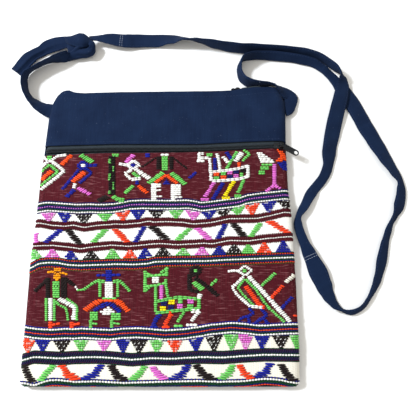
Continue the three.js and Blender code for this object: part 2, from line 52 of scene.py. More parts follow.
# %% [markdown]
# ## The camera
# The picture was taken from above, leaning a little toward the mouth of the bag. The long sides of the bag
# are parallel, so where they seem to meet gives the lean and the focal length. The picture is square,
# 416 units each way, and those units are also used later as the paper of the weaver's chart.

# %% Camera
PICTURE_SIDE = 416
PICTURE_FOCAL = 450.0
SENSOR_MM = 36.0
EYE = np.array([42.0, -103.0, 421.0])
LEAN = math.radians(16.1)

bpy.ops.object.camera_add(location=EYE * MM, rotation=(LEAN, 0, 0))
camera = bpy.context.object
camera.name = "camera"
camera.data.sensor_width = SENSOR_MM
camera.data.lens = SENSOR_MM * PICTURE_FOCAL / PICTURE_SIDE
camera.data.clip_start = 0.01
bpy.context.scene.camera = camera
print("lens", round(camera.data.lens, 2), "mm")

# %% [markdown]
# ## A helper for cloth and thread
# Cloth, straps and yarn are made from arrays of points, in millimetres, because each point has a reason:
# a place across the cloth, a place along it and a height. The helper turns such arrays into one smooth mesh
# at the origin that moves with a body of the part.

# %% Mesh helper
def mesh_piece(name, points, faces, body="bag"):
    """One smooth mesh from points in millimetres, riding on a body."""
    mesh = bpy.data.meshes.new(name)
    mesh.from_pydata((np.asarray(points, float) * MM).tolist(), [], [list(map(int, f)) for f in faces])
    mesh.update()
    mesh.shade_smooth()
    piece = bpy.data.objects.new(name, mesh)
    bpy.context.scene.collection.objects.link(piece)
    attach(piece, body)
    return piece


def set_uv(piece, corners):
    """UV map in millimetres of cloth, one pair for each corner of each face."""
    layer = piece.data.uv_layers.new(name="cloth")
    layer.data.foreach_set("uv", np.asarray(corners, np.float32).ravel())


def set_colour(piece, name, domain, colours):
    """Colour attribute from rows of red, green and blue."""
    layer = piece.data.color_attributes.new(name, "FLOAT_COLOR", domain)
    rows = np.ones((len(colours), 4), np.float32)
    rows[:, :3] = colours
    layer.data.foreach_set("color", rows.ravel())

# %% [markdown]
# ## The strap's route
# The strap is a folded and pressed band of the same navy cloth, about 16.5 mm wide. It leaves the right seam,
# passes behind the top edge, runs down the right side, turns back up in a loop and returns along the top to
# the knot. It stands on its edge at the top left and in the small loop, leans along the top, and lies low or
# folded over in the right loop. So each row of the route has a place, a roll of the band about its own middle
# line, a width and a lift off the floor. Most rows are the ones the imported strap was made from, and a few lie
# closer to the picture.

# %% Routes
Lay = namedtuple("Lay", "x y roll width lift")
OUTER_RUN = [
    Lay(120.4, 123.7, 0, 17.6, 3), Lay(122.8, 124.4, 2, 17, 2.6), Lay(124.7, 126.2, 3, 15.6, 2),
    Lay(126.2, 129, 4, 14.2, 1.4), Lay(127.4, 132.5, 5, 14.4, 0.7), Lay(128, 136.8, 6, 16, 0.2),
    Lay(125.6, 139.8, 12, 15, 0), Lay(121.8, 142.8, 24, 15, 0), Lay(116.6, 146.6, 46, 15, 0),
    Lay(110.5, 149.4, 64, 15.5, 0), Lay(101, 149.8, 78, 16, 0), Lay(89.8, 150, 88, 16.5, 0),
    Lay(81.8, 153.2, 97, 15.5, 0), Lay(76.9, 159.6, 110, 13.5, 0), Lay(75.2, 166.8, 111, 11, 0),
    Lay(75.4, 174.4, 105, 13, 0), Lay(79, 180.6, 97, 16, 0), Lay(89.5, 184.5, 87, 14.5, 0),
    Lay(100, 185.5, 74, 12, 0), Lay(110, 185.3, 66, 11.5, 0), Lay(129.2, 183.4, 62, 11, 0),
    Lay(144, 180.6, 56, 10.5, 0), Lay(154.4, 177.5, 48, 9.8, 0), Lay(163.4, 171.6, 32, 8.4, 0),
    Lay(171, 164.7, 6, 9.4, 0), Lay(176.6, 157.2, 3, 10.5, 0), Lay(184.6, 144.6, 0, 16, 0),
    Lay(193.4, 127.8, 0, 16.8, 0), Lay(201.8, 107.4, 0, 16.4, 0), Lay(209.7, 89.6, -6, 16.5, 0),
    Lay(218.4, 70, -16, 16, 0), Lay(226, 55, -22, 12, 0), Lay(231, 45, -32, 8.5, 0),
    Lay(230.7, 35, -24, 11.5, 0), Lay(227, 20.5, -21, 12.5, 0), Lay(221.6, 9.4, -37, 7.5, 0),
    Lay(217.6, 3, -44, 6.5, 0), Lay(212.2, -8.6, -33, 8.5, 0), Lay(208.2, -20.3, -27, 10.5, 0),
    Lay(204, -34.5, -23, 12, 0), Lay(198.7, -50.5, -29, 9.5, 0), Lay(194.8, -58.7, -39, 7.5, 0),
    Lay(188.5, -69, -50, 6, 0), Lay(182.2, -76.4, -48, 6, 0), Lay(173.2, -80.7, -48, 6.5, 0),
    Lay(166.4, -80, -64, 5.5, 0), Lay(161.8, -77.6, -122, 6.6, 0), Lay(157.4, -74.2, -152, 9.8, 0),
    Lay(152.6, -65.9, -172, 12.6, 0), Lay(148.9, -56, -187, 15.3, 0), Lay(144.5, -44.8, -190, 17.2, 0),
    Lay(137.7, -28.5, -196, 13, 0.1),
]
INNER_RUN = [
    Lay(132.4, -15.2, -202, 9.2, 0.4), Lay(127.9, 0.5, -204, 8.6, 1), Lay(128.6, 8.6, -210, 6.1, 1.5),
    Lay(135.2, 19.4, -200, 9, 0.7), Lay(142.4, 32, -190, 10.4, 0.3), Lay(148.6, 39.9, -178, 9.8, 0),
    Lay(155.4, 48.2, -166, 10, 0), Lay(160.8, 60, -160, 11.3, 0), Lay(163.3, 76.5, -163, 15.5, 0),
    Lay(168.4, 98, -168, 16.3, 0.6), Lay(174.8, 121.6, -170, 16, 2.4), Lay(179.2, 136, -172, 15.5, 3.2),
    Lay(182.2, 149.4, -168, 14.5, 3.4), Lay(182.8, 156.6, -144, 12.5, 3.4),
    Lay(180.8, 161.8, -107, 12, 3.4), Lay(175.4, 168.4, -90, 12.5, 3.4), Lay(168.6, 175.4, -88, 13, 2.2),
    Lay(160.6, 181.6, -85, 13.5, 1), Lay(151.6, 185.8, -81, 13.5, 0.3), Lay(141.4, 188.2, -78, 14, 0),
    Lay(123.4, 190.6, -76, 14, 0), Lay(98.6, 191.8, -78, 15, 0), Lay(74.8, 193, -85, 16.5, 0),
    Lay(50, 197.6, -92, 16.5, 0), Lay(33, 202.4, -112, 16.5, 0), Lay(18, 205.6, -128, 16.5, 0),
    Lay(3, 206.8, -158, 16.5, 0), Lay(-15, 206.8, -178, 16.5, 0), Lay(-35.6, 205.4, -180, 16.5, 2.2),
    Lay(-45.2, 204.3, -180, 16.5, 4), Lay(-53, 204.3, -180, 15.6, 5), Lay(-59.9, 205.1, -178, 14.6, 5.4),
    Lay(-66, 205.6, -176, 13, 5.6), Lay(-72.2, 205.5, -172, 10, 5.8), Lay(-78.6, 205.6, -168, 7.5, 6),
    Lay(-85, 204.8, -165, 7, 6.4),
]
LEFT_RUN = [
    Lay(-116.8, 120.2, 0, 16, 3.6), Lay(-121, 121.2, 4, 16, 3), Lay(-125, 122.8, 18, 16, 2),
    Lay(-129.4, 124.8, 36, 16.5, 0.4), Lay(-136.6, 130.2, 57, 16.5, 0), Lay(-143, 136.8, 73, 16.5, 0),
    Lay(-147, 144.6, 82, 16.5, 0), Lay(-148.8, 153.6, 88, 16.5, 0), Lay(-148.2, 160, 97, 16.5, 0),
    Lay(-145.2, 165.2, 110, 16.5, 0), Lay(-140, 169.8, 116, 16.5, 0), Lay(-133.8, 173.8, 116, 16.5, 0),
    Lay(-125.4, 178, 108, 16.5, 0), Lay(-117.8, 180.3, 94, 16.5, 0), Lay(-110.6, 182.6, 78, 15, 0),
    Lay(-105.4, 185.2, 62, 12, 1),
]
TAIL_RUN = [
    Lay(-107.6, 202.4, -4, 13.5, 4), Lay(-112, 202.4, -8, 14, 3), Lay(-121.2, 201, -12, 15.5, 1.2),
    Lay(-130, 198, -14, 15, 0.4), Lay(-137.1, 193, -16, 12, 0.2), Lay(-144, 188.6, -14, 12.5, 0),
    Lay(-149.4, 183.6, -12, 14.5, 0), Lay(-153.8, 177.6, -10, 14.5, 0), Lay(-161, 167.2, -8, 13, 0),
]
STRAP_THICK = 2.2
STRAP_FLOOR = 0.2
print("rows of the strap", len(OUTER_RUN + INNER_RUN), len(LEFT_RUN), len(TAIL_RUN))

# %% [markdown]
# ## Following a route
# A smooth curve through the rows gives the middle line. Even steps along it carry the roll, the width and the
# lift, and three directions at each step: along the strap, across its width and out of its face.

# %% Middle line of a strap
Track = namedtuple("Track", "middle along wide out half run")
FINE_STEPS = 40


def unit(rows):
    """Directions made one long."""
    return rows / np.linalg.norm(rows, axis=-1, keepdims=True)


def run_along(line):
    """Distance of each point of a line from its start, measured along it."""
    return np.append(0, np.cumsum(np.linalg.norm(np.diff(line, axis=0), axis=1)))


def curve_through(points):
    """Smooth curve through points that bends evenly between them, with its place in the table."""
    ends = np.vstack([2 * points[0] - points[1], points, 2 * points[-1] - points[-2]])
    share = np.linspace(0, 1, FINE_STEPS, endpoint=False)[:, None]
    line, place = [], []
    for i in range(len(points) - 1):
        before, here, there, after = ends[i:i + 4]
        gap_in, gap, gap_out = (
            np.sum((b - a) ** 2) ** 0.25 for a, b in ((before, here), (here, there), (there, after)))
        leave = ((here - before) / gap_in - (there - before) / (gap_in + gap) + (there - here) / gap) * gap
        reach = ((there - here) / gap - (after - here) / (gap + gap_out) + (after - there) / gap_out) * gap
        line.append(here + leave * share + (3 * (there - here) - 2 * leave - reach) * share ** 2
                    + (2 * (here - there) + leave + reach) * share ** 3)
        place.append(i + share[:, 0])
    return np.vstack(line + [points[-1:]]), np.append(np.concatenate(place), len(points) - 1)


def track_of(route, step):
    """Even steps along a route of the strap."""
    rows = np.array(route, float)
    line, place = curve_through(rows[:, :2])
    run = run_along(line)
    even = np.linspace(0, run[-1], int(round(run[-1] / step)) + 1)
    x, y, place = (np.interp(even, run, column) for column in (line[:, 0], line[:, 1], place))
    here = np.minimum(place.astype(int), len(rows) - 2)
    share = place - here
    share = share * share * (3 - 2 * share)
    roll, width, lift = (rows[here, c] + (rows[here + 1, c] - rows[here, c]) * share for c in (2, 3, 4))
    roll = np.radians(roll)
    z = STRAP_FLOOR + lift + abs(np.sin(roll)) * width / 2 + abs(np.cos(roll)) * STRAP_THICK / 2
    along = unit(np.stack([np.gradient(x, even), np.gradient(y, even), np.zeros_like(x)], 1))
    left = np.stack([-along[:, 1], along[:, 0], np.zeros_like(x)], 1)
    wide = left * np.cos(roll)[:, None] + np.array([0, 0, 1]) * np.sin(roll)[:, None]
    return Track(np.stack([x, y, z], 1), along, wide, np.cross(along, wide), width / 2, even)

# %% [markdown]
# ## The band itself
# The section of the strap is two layers of cloth: full in the middle, thin at the rounded edges, with a
# shallow groove where the rows of stitching pull the layers together. Small creases run across it, deeper
# where the strap turns. The section is swept along the track and closed at both ends.

# %% Sweep of a folded band
HALF_PLACES = np.array([1, .975, .92, .84, .78, .72, .5, .25])
FACE_PLACES = np.concatenate([HALF_PLACES, [0], -HALF_PLACES[::-1]])
STITCH_PLACE = 0.78
STITCH_GROOVE = 0.22
GROOVE_WIDE = 0.04
CREASE = 0.3


def half_thickness(place):
    """Share of half the strap's thickness at a place from -1 to 1 across it."""
    full = np.sqrt(1 - abs(place) ** 6)
    return full - STITCH_GROOVE * np.exp(-((abs(place) - STITCH_PLACE) / GROOVE_WIDE) ** 2)


def creases(run, place):
    """Soft creases across the strap, as a lift out of its face in millimetres."""
    return CREASE * (np.sin(run / 6.1 + 1.9 * place) * np.sin(run / 19 + 0.7)
                     + 0.5 * np.sin(run / 3.3 - 2.4 * place) * np.sin(run / 31 + 2))


def loft_faces(rings, sides):
    """Faces of a tube of rings, with both ends closed."""
    ring = np.arange(rings - 1)[:, None] * sides
    side = np.arange(sides)[None, :]
    nxt = (side + 1) % sides
    walls = np.stack([ring + side, ring + nxt, ring + nxt + sides, ring + side + sides], -1).reshape(-1, 4)
    last = (rings - 1) * sides
    return walls.tolist() + [list(range(sides))[::-1], [last + k for k in range(sides)]]


def band_piece(name, track, shape=creases):
    """Folded band of cloth swept along a track. A ring that would dip under the floor is raised onto it."""
    places = np.append(FACE_PLACES, FACE_PLACES[-2:0:-1])
    faces = np.append(np.ones(len(FACE_PLACES)), -np.ones(len(FACE_PLACES) - 2))
    thick = STRAP_THICK / 2 * half_thickness(places) * faces
    lift = thick[None, :] + shape(track.run[:, None], places[None, :])
    points = (track.middle[:, None, :] + track.wide[:, None, :] * (track.half[:, None] * places)[..., None]
              + track.out[:, None, :] * lift[..., None])
    dip = -points[..., 2].min(axis=1, keepdims=True)
    points[..., 2] += np.maximum(dip, 0)
    rings, sides = points.shape[:2]
    piece = mesh_piece(name, points.reshape(-1, 3), loft_faces(rings, sides))
    mean = float(track.half.mean())
    girth = np.append(0, np.cumsum(abs(np.diff(np.append(places, places[0]))))) * mean
    u = np.repeat(track.run[:, None], sides + 1, axis=1)
    v = np.repeat(girth[None, :], rings, axis=0)
    cloth = np.stack([u, v], -1)
    walls = np.stack([cloth[:-1, :-1], cloth[:-1, 1:], cloth[1:, 1:], cloth[1:, :-1]], 2).reshape(-1, 2)
    ends = np.vstack([cloth[0, :-1][::-1], cloth[-1, :-1]])
    set_uv(piece, np.vstack([walls, ends]))
    return piece

# %% [markdown]
# ## Laying the strap
# The long run is one strap from the right seam to the knot, so it is one piece. The left run is its other
# end. Both lie free on the floor.

# %% Strap pieces
STRAP_STEP = 2.0
TAIL_OPENS = 40
RIDGE_HIGH = 2.0
RIDGE_AT = 0.12
RIDGE_WIDE = 0.16
FOLD_DEEP = 1.6
FOLD_AT = 0.5
FOLD_WIDE = 0.2
long_track = track_of(OUTER_RUN + INNER_RUN, STRAP_STEP)
left_track = track_of(LEFT_RUN, STRAP_STEP)
strap_long = band_piece("strap_long_cloth", long_track)
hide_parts("strap_outer_run", "strap_inner_run")
strap_left = band_piece("strap_left_cloth", left_track)
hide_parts("strap_left")


def gutter(run, place):
    """The free tail opens at its cut end: a ridge along the middle with a deep fold beside it."""
    opened = np.clip(run / TAIL_OPENS, 0.2, 1)
    ridge = RIDGE_HIGH * np.exp(-((place - RIDGE_AT) / RIDGE_WIDE) ** 2)
    fold = -FOLD_DEEP * np.exp(-((place - FOLD_AT) / FOLD_WIDE) ** 2)
    return opened * (ridge + fold) + 0.5 * creases(run, place)


tail_track = track_of(TAIL_RUN, STRAP_STEP)
strap_tail = band_piece("strap_tail_cloth", tail_track, gutter)
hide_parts("strap_tail")
print("long strap", round(long_track.run[-1]), "left strap", round(left_track.run[-1]), "mm")

# %% [markdown]
# ## Floor and light
# The floor is pale and plain. One soft lamp stands to the upper left, so each edge drops a short soft
# shadow to the lower right, and an even pale sky fills the shadows. The picture keeps its colours as they
# are, with no film look.

# %% Floor, lamp and sky
FLOOR_SIZE = 8.0
FLOOR_DROP = 0.0001
bpy.ops.mesh.primitive_plane_add(size=FLOOR_SIZE, location=(0, 0, -FLOOR_DROP))
floor = bpy.context.object
floor.name = "floor"
bpy.ops.object.transform_apply(location=True, rotation=True, scale=True)

LAMP_TURN = math.radians(156)
LAMP_RISE = math.radians(44)
LAMP_AWAY = 1.6
LAMP_SIZE = 0.25
LAMP_WATTS = 32.0
LAMP_COLOUR = (0.9, 0.95, 1.0)
SKY = 0.78
SKY_COLOUR = (1.0, 0.965, 0.89, 1)
lamp_way = np.array([math.cos(LAMP_TURN) * math.cos(LAMP_RISE), math.sin(LAMP_TURN) * math.cos(LAMP_RISE),
                     math.sin(LAMP_RISE)])
bpy.ops.object.light_add(type="AREA", location=lamp_way * LAMP_AWAY,
                         rotation=(math.pi / 2 - LAMP_RISE, 0, LAMP_TURN + math.pi / 2))
lamp = bpy.context.object
lamp.name = "lamp"
lamp.data.size = LAMP_SIZE
lamp.data.energy = LAMP_WATTS
lamp.data.color = LAMP_COLOUR

world = bpy.data.worlds.new("studio")
bpy.context.scene.world = world
world.use_nodes = True
sky = world.node_tree.nodes["Background"]
sky.inputs["Color"].default_value = SKY_COLOUR
sky.inputs["Strength"].default_value = SKY
bpy.context.scene.view_settings.view_transform = "Standard"
print("lamp at", [round(float(v), 2) for v in lamp.location])

# %% [markdown]
# ## Node helpers and the weave group
# Every cloth here shows threads that pass over and under each other. That effect is one node group: it takes
# a place on the cloth in millimetres and the spacing of the threads, and puts out a height for the bump and a
# shade that lightens and darkens single threads.

# %% Nodes
def linear(colour):
    """Red, green and blue from 0 to 255, as a screen shows them, made linear."""
    share = np.array(colour, float) / 255
    return np.where(share <= 0.04045, share / 12.92, ((share + 0.055) / 1.055) ** 2.4)


def node(tree, kind, inputs=(), **settings):
    """A node with its settings, and inputs given as name or number and value or socket."""
    made = tree.nodes.new(kind)
    for name, value in settings.items():
        setattr(made, name, value)
    for name, value in inputs:
        if isinstance(value, bpy.types.NodeSocket):
            tree.links.new(value, made.inputs[name])
        else:
            made.inputs[name].default_value = value
    return made


def maths(tree, operation, first, second=0.0):
    """Result of a Math node."""
    return node(tree, "ShaderNodeMath", [(0, first), (1, second)], operation=operation).outputs[0]


def mixed(tree, share, first, second):
    """Colour mix. Colours are rows of three or sockets."""
    made = node(tree, "ShaderNodeMix", data_type="RGBA")
    for place, value in ((0, share), (6, first), (7, second)):
        if isinstance(value, bpy.types.NodeSocket):
            tree.links.new(value, made.inputs[place])
        elif place == 0:
            made.inputs[place].default_value = value
        else:
            made.inputs[place].default_value = (*[float(v) for v in value], 1)
    return made.outputs[2]


def noise(tree, vector, scale, detail=2.0):
    """Noise over a place."""
    made = node(tree, "ShaderNodeTexNoise", [("Vector", vector), ("Scale", scale), ("Detail", detail)])
    return made.outputs[0]


def spread(tree, value, low, high, out_low=0.0, out_high=1.0):
    """A value from one range carried over to another."""
    made = node(tree, "ShaderNodeMapRange", [(0, value), (1, low), (2, high), (3, out_low), (4, out_high)])
    return made.outputs[0]


def stretched(tree, place, factors):
    """A place on the cloth, scaled by a factor of its own each way."""
    return node(tree, "ShaderNodeVectorMath", [(0, place), (1, factors)], operation="MULTIPLY").outputs[0]


def twisted(tree, place, tightness):
    """Fine slanted lines, as the plies of a thread show."""
    split = node(tree, "ShaderNodeSeparateXYZ", [(0, place)])
    slant = maths(tree, "ADD", split.outputs[0], split.outputs[1])
    return maths(tree, "SINE", maths(tree, "MULTIPLY", slant, tightness))


weave = bpy.data.node_groups.new("thread_weave", "ShaderNodeTree")
SOCKETS = [("Cloth", "INPUT", "Vector"), ("Across", "INPUT", "Float"), ("Along", "INPUT", "Float"),
           ("Height", "OUTPUT", "Float"), ("Shade", "OUTPUT", "Float")]
for name, way, kind in SOCKETS:
    weave.interface.new_socket(name, in_out=way, socket_type="NodeSocket" + kind)
entry = node(weave, "NodeGroupInput")
leave = node(weave, "NodeGroupOutput")
split = node(weave, "ShaderNodeSeparateXYZ", [(0, entry.outputs["Cloth"])])
turn_x = maths(weave, "MULTIPLY", split.outputs[0], maths(weave, "DIVIDE", math.pi, entry.outputs["Across"]))
turn_y = maths(weave, "MULTIPLY", split.outputs[1], maths(weave, "DIVIDE", math.pi, entry.outputs["Along"]))
over = maths(weave, "MULTIPLY", maths(weave, "SINE", turn_x), maths(weave, "SINE", turn_y))
ribs = maths(weave, "ABSOLUTE", maths(weave, "SINE", turn_x))
fuzz = noise(weave, entry.outputs["Cloth"], 1.6, 3.0)
height = maths(weave, "ADD", maths(weave, "MULTIPLY", over, 0.5), maths(weave, "MULTIPLY", ribs, 0.35))
weave.links.new(maths(weave, "ADD", height, maths(weave, "MULTIPLY", fuzz, 0.8)), leave.inputs["Height"])
streak = noise(weave, stretched(weave, entry.outputs["Cloth"], (2.2, 0.05, 1.0)), 1.0, 2.0)
shade = maths(weave, "ADD", maths(weave, "MULTIPLY", streak, 0.6), maths(weave, "MULTIPLY", fuzz, 0.4))
weave.links.new(shade, leave.inputs["Shade"])
print("weave group nodes:", len(weave.nodes))

# %% [markdown]
# ## Navy cloth
# The bag's band, back and strap are one dense navy cotton. A close weave gives it a dry, even surface, with
# paler threads here and there and a faint bloom where light grazes it. On the strap the weave follows the UV
# map, so it turns with the strap. On the flat panels it reads Object coordinates.

# %% Navy cloth material
NAVY_DEEP = linear((9, 22, 47))
NAVY_PALE = linear((22, 39, 68))


def new_material(name, roughness, sheen=0.0):
    """Material with its constants set on the shader itself."""
    made = bpy.data.materials.new(name)
    made.use_nodes = True
    shader = made.node_tree.nodes["Principled BSDF"]
    shader.inputs["Roughness"].default_value = roughness
    shader.inputs["Sheen Weight"].default_value = sheen
    shader.inputs["Sheen Roughness"].default_value = 0.4
    shader.inputs["Specular IOR Level"].default_value = 0.1
    return made, made.node_tree, shader


def dress(material, *pieces):
    """Gives pieces one material."""
    for piece in pieces:
        piece.data.materials.clear()
        piece.data.materials.append(material)


def mesh_colour(tree, layer):
    """Colour that a mesh carries."""
    return node(tree, "ShaderNodeVertexColor", layer_name=layer).outputs["Color"]


def cloth_place(tree, follows_uv):
    """Place on the cloth in millimetres, from the UV map or from Object coordinates."""
    if follows_uv:
        return node(tree, "ShaderNodeUVMap", uv_map="cloth").outputs[0]
    place = node(tree, "ShaderNodeTexCoord").outputs["Object"]
    return node(tree, "ShaderNodeVectorMath", [(0, place), ("Scale", 1000.0)], operation="SCALE").outputs[0]


def woven(tree, place, across, along):
    """The weave group on a place, with the spacing of its threads in millimetres."""
    threads = node(tree, "ShaderNodeGroup", node_tree=weave)
    for name, value in (("Across", across), ("Along", along)):
        threads.inputs[name].default_value = value
    tree.links.new(place, threads.inputs["Cloth"])
    return threads.outputs["Height"], threads.outputs["Shade"]


def add_bump(tree, shader, height, strength, distance):
    """Bump from a height, on the shader."""
    bump = node(tree, "ShaderNodeBump", [("Height", height), ("Strength", strength), ("Distance", distance)])
    tree.links.new(bump.outputs[0], shader.inputs["Normal"])


def navy_cloth(name, follows_uv):
    """Navy cotton for the strap or for flat panels."""
    made, tree, shader = new_material(name, 0.92, sheen=0.03)
    place = cloth_place(tree, follows_uv)
    height, shade = woven(tree, place, 0.55, 0.5)
    worn = noise(tree, place, 0.06, 3.0)
    share = maths(tree, "ADD", maths(tree, "MULTIPLY", shade, 0.7), maths(tree, "MULTIPLY", worn, 0.5))
    tone = mixed(tree, spread(tree, share, 0.35, 0.85), NAVY_DEEP, NAVY_PALE)
    lint = spread(tree, noise(tree, place, 0.9, 1.0), 0.76, 0.8, 0.0, 0.35)
    tree.links.new(mixed(tree, lint, tone, linear((120, 135, 160))), shader.inputs["Base Color"])
    add_bump(tree, shader, height, 0.35, 0.00025)
    return made


navy_strap = navy_cloth("navy_strap_cloth", True)
navy_panel = navy_cloth("navy_panel_cloth", False)
dress(navy_strap, strap_long, strap_left, strap_tail)

floor_material, floor_tree, floor_shader = new_material("pale_floor", 0.75)
floor_place = node(floor_tree, "ShaderNodeTexCoord").outputs["Object"]
floor_tone = mixed(floor_tree, noise(floor_tree, floor_place, 3.0), (0.88, 0.885, 0.89), (0.91, 0.91, 0.915))
floor_tree.links.new(floor_tone, floor_shader.inputs["Base Color"])
dress(floor_material, floor)
print("navy cloth nodes:", len(navy_strap.node_tree.nodes))

# %% [markdown]
# ## The body of the bag
# The bag is two cloths sewn along the sides and the bottom: flat in the middle and rolled over at the edges.
# One height function describes the front at any place, so panels, zips and every thread can sit on it. Its
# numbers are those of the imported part: the outline from above, the hems, the rise over the seams and the soft
# folds.

# %% Height of the front
BAG_WIDTH = 242.0
BAG_BOTTOM = -143.5
EDGE_ROLL = 9.0
CORNER_RADIUS = 6.0
SEAM_HEIGHT = 4.7
FRONT_RISE = 5.4
PIECE_GAP = 0.3
DOME = 0.7
Side = namedtuple("Side", "y x")
Hem = namedtuple("Hem", "x y")
Fold = namedtuple("Fold", "x y heading long wide high")
LEFT_EDGE = [
    Side(-138, -120.8), Side(-112, -120.8), Side(-43, -122.7), Side(12, -121.6), Side(40, -121.9),
    Side(77, -121), Side(112, -120.1), Side(128, -117.7), Side(136, -114.6), Side(142, -109.5),
]
RIGHT_EDGE = [
    Side(-138, 121.4), Side(-119, 122.1), Side(-59, 122.7), Side(7, 122), Side(31, 120), Side(76, 119.8),
    Side(115, 121.2), Side(130, 120.5), Side(146, 116),
]
MOUTH_EDGE = [
    Hem(-121, 141.8), Hem(-112, 139.4), Hem(-100, 138.6), Hem(-78, 139.2), Hem(-59, 139.8), Hem(34, 140.8),
    Hem(60, 141.2), Hem(74, 142), Hem(87, 143.8), Hem(101, 145.7), Hem(120, 145.6),
]
BAND_EDGE = [Hem(-118, 79.8), Hem(-55, 81.4), Hem(34, 81.3), Hem(84, 83.9), Hem(114, 85)]
WOVEN_EDGE = [Hem(-118, 69.9), Hem(-64, 72), Hem(14, 72.6), Hem(54, 73.8), Hem(111, 76.8)]
FOLDS = [Fold(-78, 112, 62, 26, 7, 0.9), Fold(-30, 108, 35, 30, 8, 0.7), Fold(48, 118, -20, 34, 9, 0.8),
         Fold(-60, 20, 80, 40, 12, 0.6), Fold(40, -20, 100, 50, 14, 0.7), Fold(70, -95, 15, 30, 10, 0.6)]


def read(table, place):
    """Second column of a table at a place in its first column."""
    rows = np.array(table, float)
    return np.interp(place, rows[:, 0], rows[:, 1])


def side_edges(y):
    """Left and right outline at a height up the bag, with rounded bottom corners."""
    into = np.clip(CORNER_RADIUS - (y - BAG_BOTTOM), 0, CORNER_RADIUS)
    inset = CORNER_RADIUS - np.sqrt(CORNER_RADIUS ** 2 - into ** 2)
    return read(LEFT_EDGE, y) + inset, read(RIGHT_EDGE, y) - inset


def softness(x, y):
    """Swell and folds that stand up from the flat of the front."""
    across, along = x / (BAG_WIDTH / 2), y / BAG_BOTTOM
    high = DOME * np.maximum(0, 1 - across ** 2) * np.maximum(0, 1 - along ** 2)
    for fold in FOLDS:
        turn = math.radians(fold.heading)
        u = ((x - fold.x) * math.cos(turn) + (y - fold.y) * math.sin(turn)) / fold.long
        v = ((y - fold.y) * math.cos(turn) - (x - fold.x) * math.sin(turn)) / fold.wide
        high = high + fold.high * np.exp(-u * u - v * v)
    return high


def skin(x, y, above=0.0, side=1):
    """Points on the front (side 1) or back (side -1), so far above the cloth along its normal."""
    x, y = np.broadcast_arrays(np.asarray(x, float), np.asarray(y, float))
    left, right = side_edges(y)
    lean_x = (np.clip((x - right) / EDGE_ROLL + 1, 0, 1) - np.clip((left - x) / EDGE_ROLL + 1, 0, 1))
    lean_y = -np.clip((BAG_BOTTOM - y) / EDGE_ROLL + 1, 0, 1)
    flat = np.sqrt(1 - lean_x ** 2) * np.sqrt(1 - lean_y ** 2)
    rise = FRONT_RISE if side > 0 else SEAM_HEIGHT - PIECE_GAP / 2
    soft = softness(x, y) if side > 0 else 0.0
    z = SEAM_HEIGHT + side * (PIECE_GAP / 2 + (rise + soft) * flat)
    normal = unit(np.stack([rise * lean_x, rise * lean_y, side * EDGE_ROLL * flat], -1))
    return np.stack([x, y, z], -1) + normal * np.broadcast_to(above, x.shape)[..., None]


def columns(flat_steps, roll_steps):
    """Columns across the bag: share of the flat width and sine of the turn over the side edges."""
    turn = np.sin(np.linspace(0, math.pi / 2, roll_steps + 1))[1:]
    share = np.concatenate([np.zeros(roll_steps), np.linspace(0, 1, flat_steps + 1), np.ones(roll_steps)])
    return share, np.concatenate([-turn[::-1], np.zeros(flat_steps + 1), turn])


def column_x(share, turn, y):
    """Place across of each column at a height up the bag."""
    left, right = side_edges(y)
    return left + EDGE_ROLL + (right - left - 2 * EDGE_ROLL) * share + EDGE_ROLL * turn


print("front stands", round(float(skin(0, 0)[2]), 2), "mm high")

# %% [markdown]
# ## A panel of cloth
# A panel is a closed sheet: an outer grid of points on the skin, an inner grid one cloth thickness below it
# and a wall round the rim. Near a folded hem the two grids close toward each other, which rounds the fold.

# %% Sheet between two grids
HEM_ROLL = 1.6
HEM_PINCH = 0.45
NAVY_THICK = 1.5
HEM_STEPS = np.array([0, .15, .5, 1.0, 1.7, 2.5])


def sheet_faces(outer_shape, flip=False):
    """Faces of a closed sheet of two grids that lie one above the other."""
    count = outer_shape[0] * outer_shape[1]
    at = np.arange(count).reshape(outer_shape)
    top = np.stack([at[:-1, :-1], at[1:, :-1], at[1:, 1:], at[:-1, 1:]], -1).reshape(-1, 4)
    rim = np.concatenate([at[:-1, 0], at[-1, :-1], at[:0:-1, -1], at[0, :0:-1]])
    nxt = np.roll(rim, -1)
    walls = np.stack([rim, rim + count, nxt + count, nxt], -1)
    faces = np.vstack([top, top[:, ::-1] + count, walls])
    return faces[:, ::-1] if flip else faces


def hem_round(distance, size):
    """Depth by which a hem of this size rolls in at a distance from its edge."""
    into = np.clip(1 - distance / size, 0, 1)
    return 1 - np.sqrt(1 - into ** 2)


def cloth_panel(name, x, y, thick, hem=None, extra=0.0, side=1, depth=0.0):
    """Closed sheet over grids of x and y. hem is the distance of each point from a folded edge."""
    roll = 0.0 if hem is None else hem_round(hem, HEM_ROLL) * thick * HEM_PINCH
    outer = skin(x, y, extra - depth - roll, side)
    inner = skin(x, y, extra - depth - thick + roll, side)
    points = np.vstack([outer.reshape(-1, 3), inner.reshape(-1, 3)])
    return mesh_piece(name, points, sheet_faces(x.shape, side < 0))


def rows_with_hems(low, high, steps):
    """Heights from a lower to an upper hem, closer together at both."""
    share = np.linspace(0, 1, steps + 1)[1:-1]
    inside = low[:, None] + HEM_STEPS[-1] + (high - low - 2 * HEM_STEPS[-1])[:, None] * share
    return np.hstack([low[:, None] + HEM_STEPS, inside, high[:, None] - HEM_STEPS[::-1]])

# %% [markdown]
# ## Navy band and back
# The band over the zip is folded under along its lower edge and hemmed at the mouth. Both hems are sewn
# with navy thread, and the stitching pulls a shallow line into the cloth. The back isn't seen in the
# picture, so it is finished plainly in the same cloth.

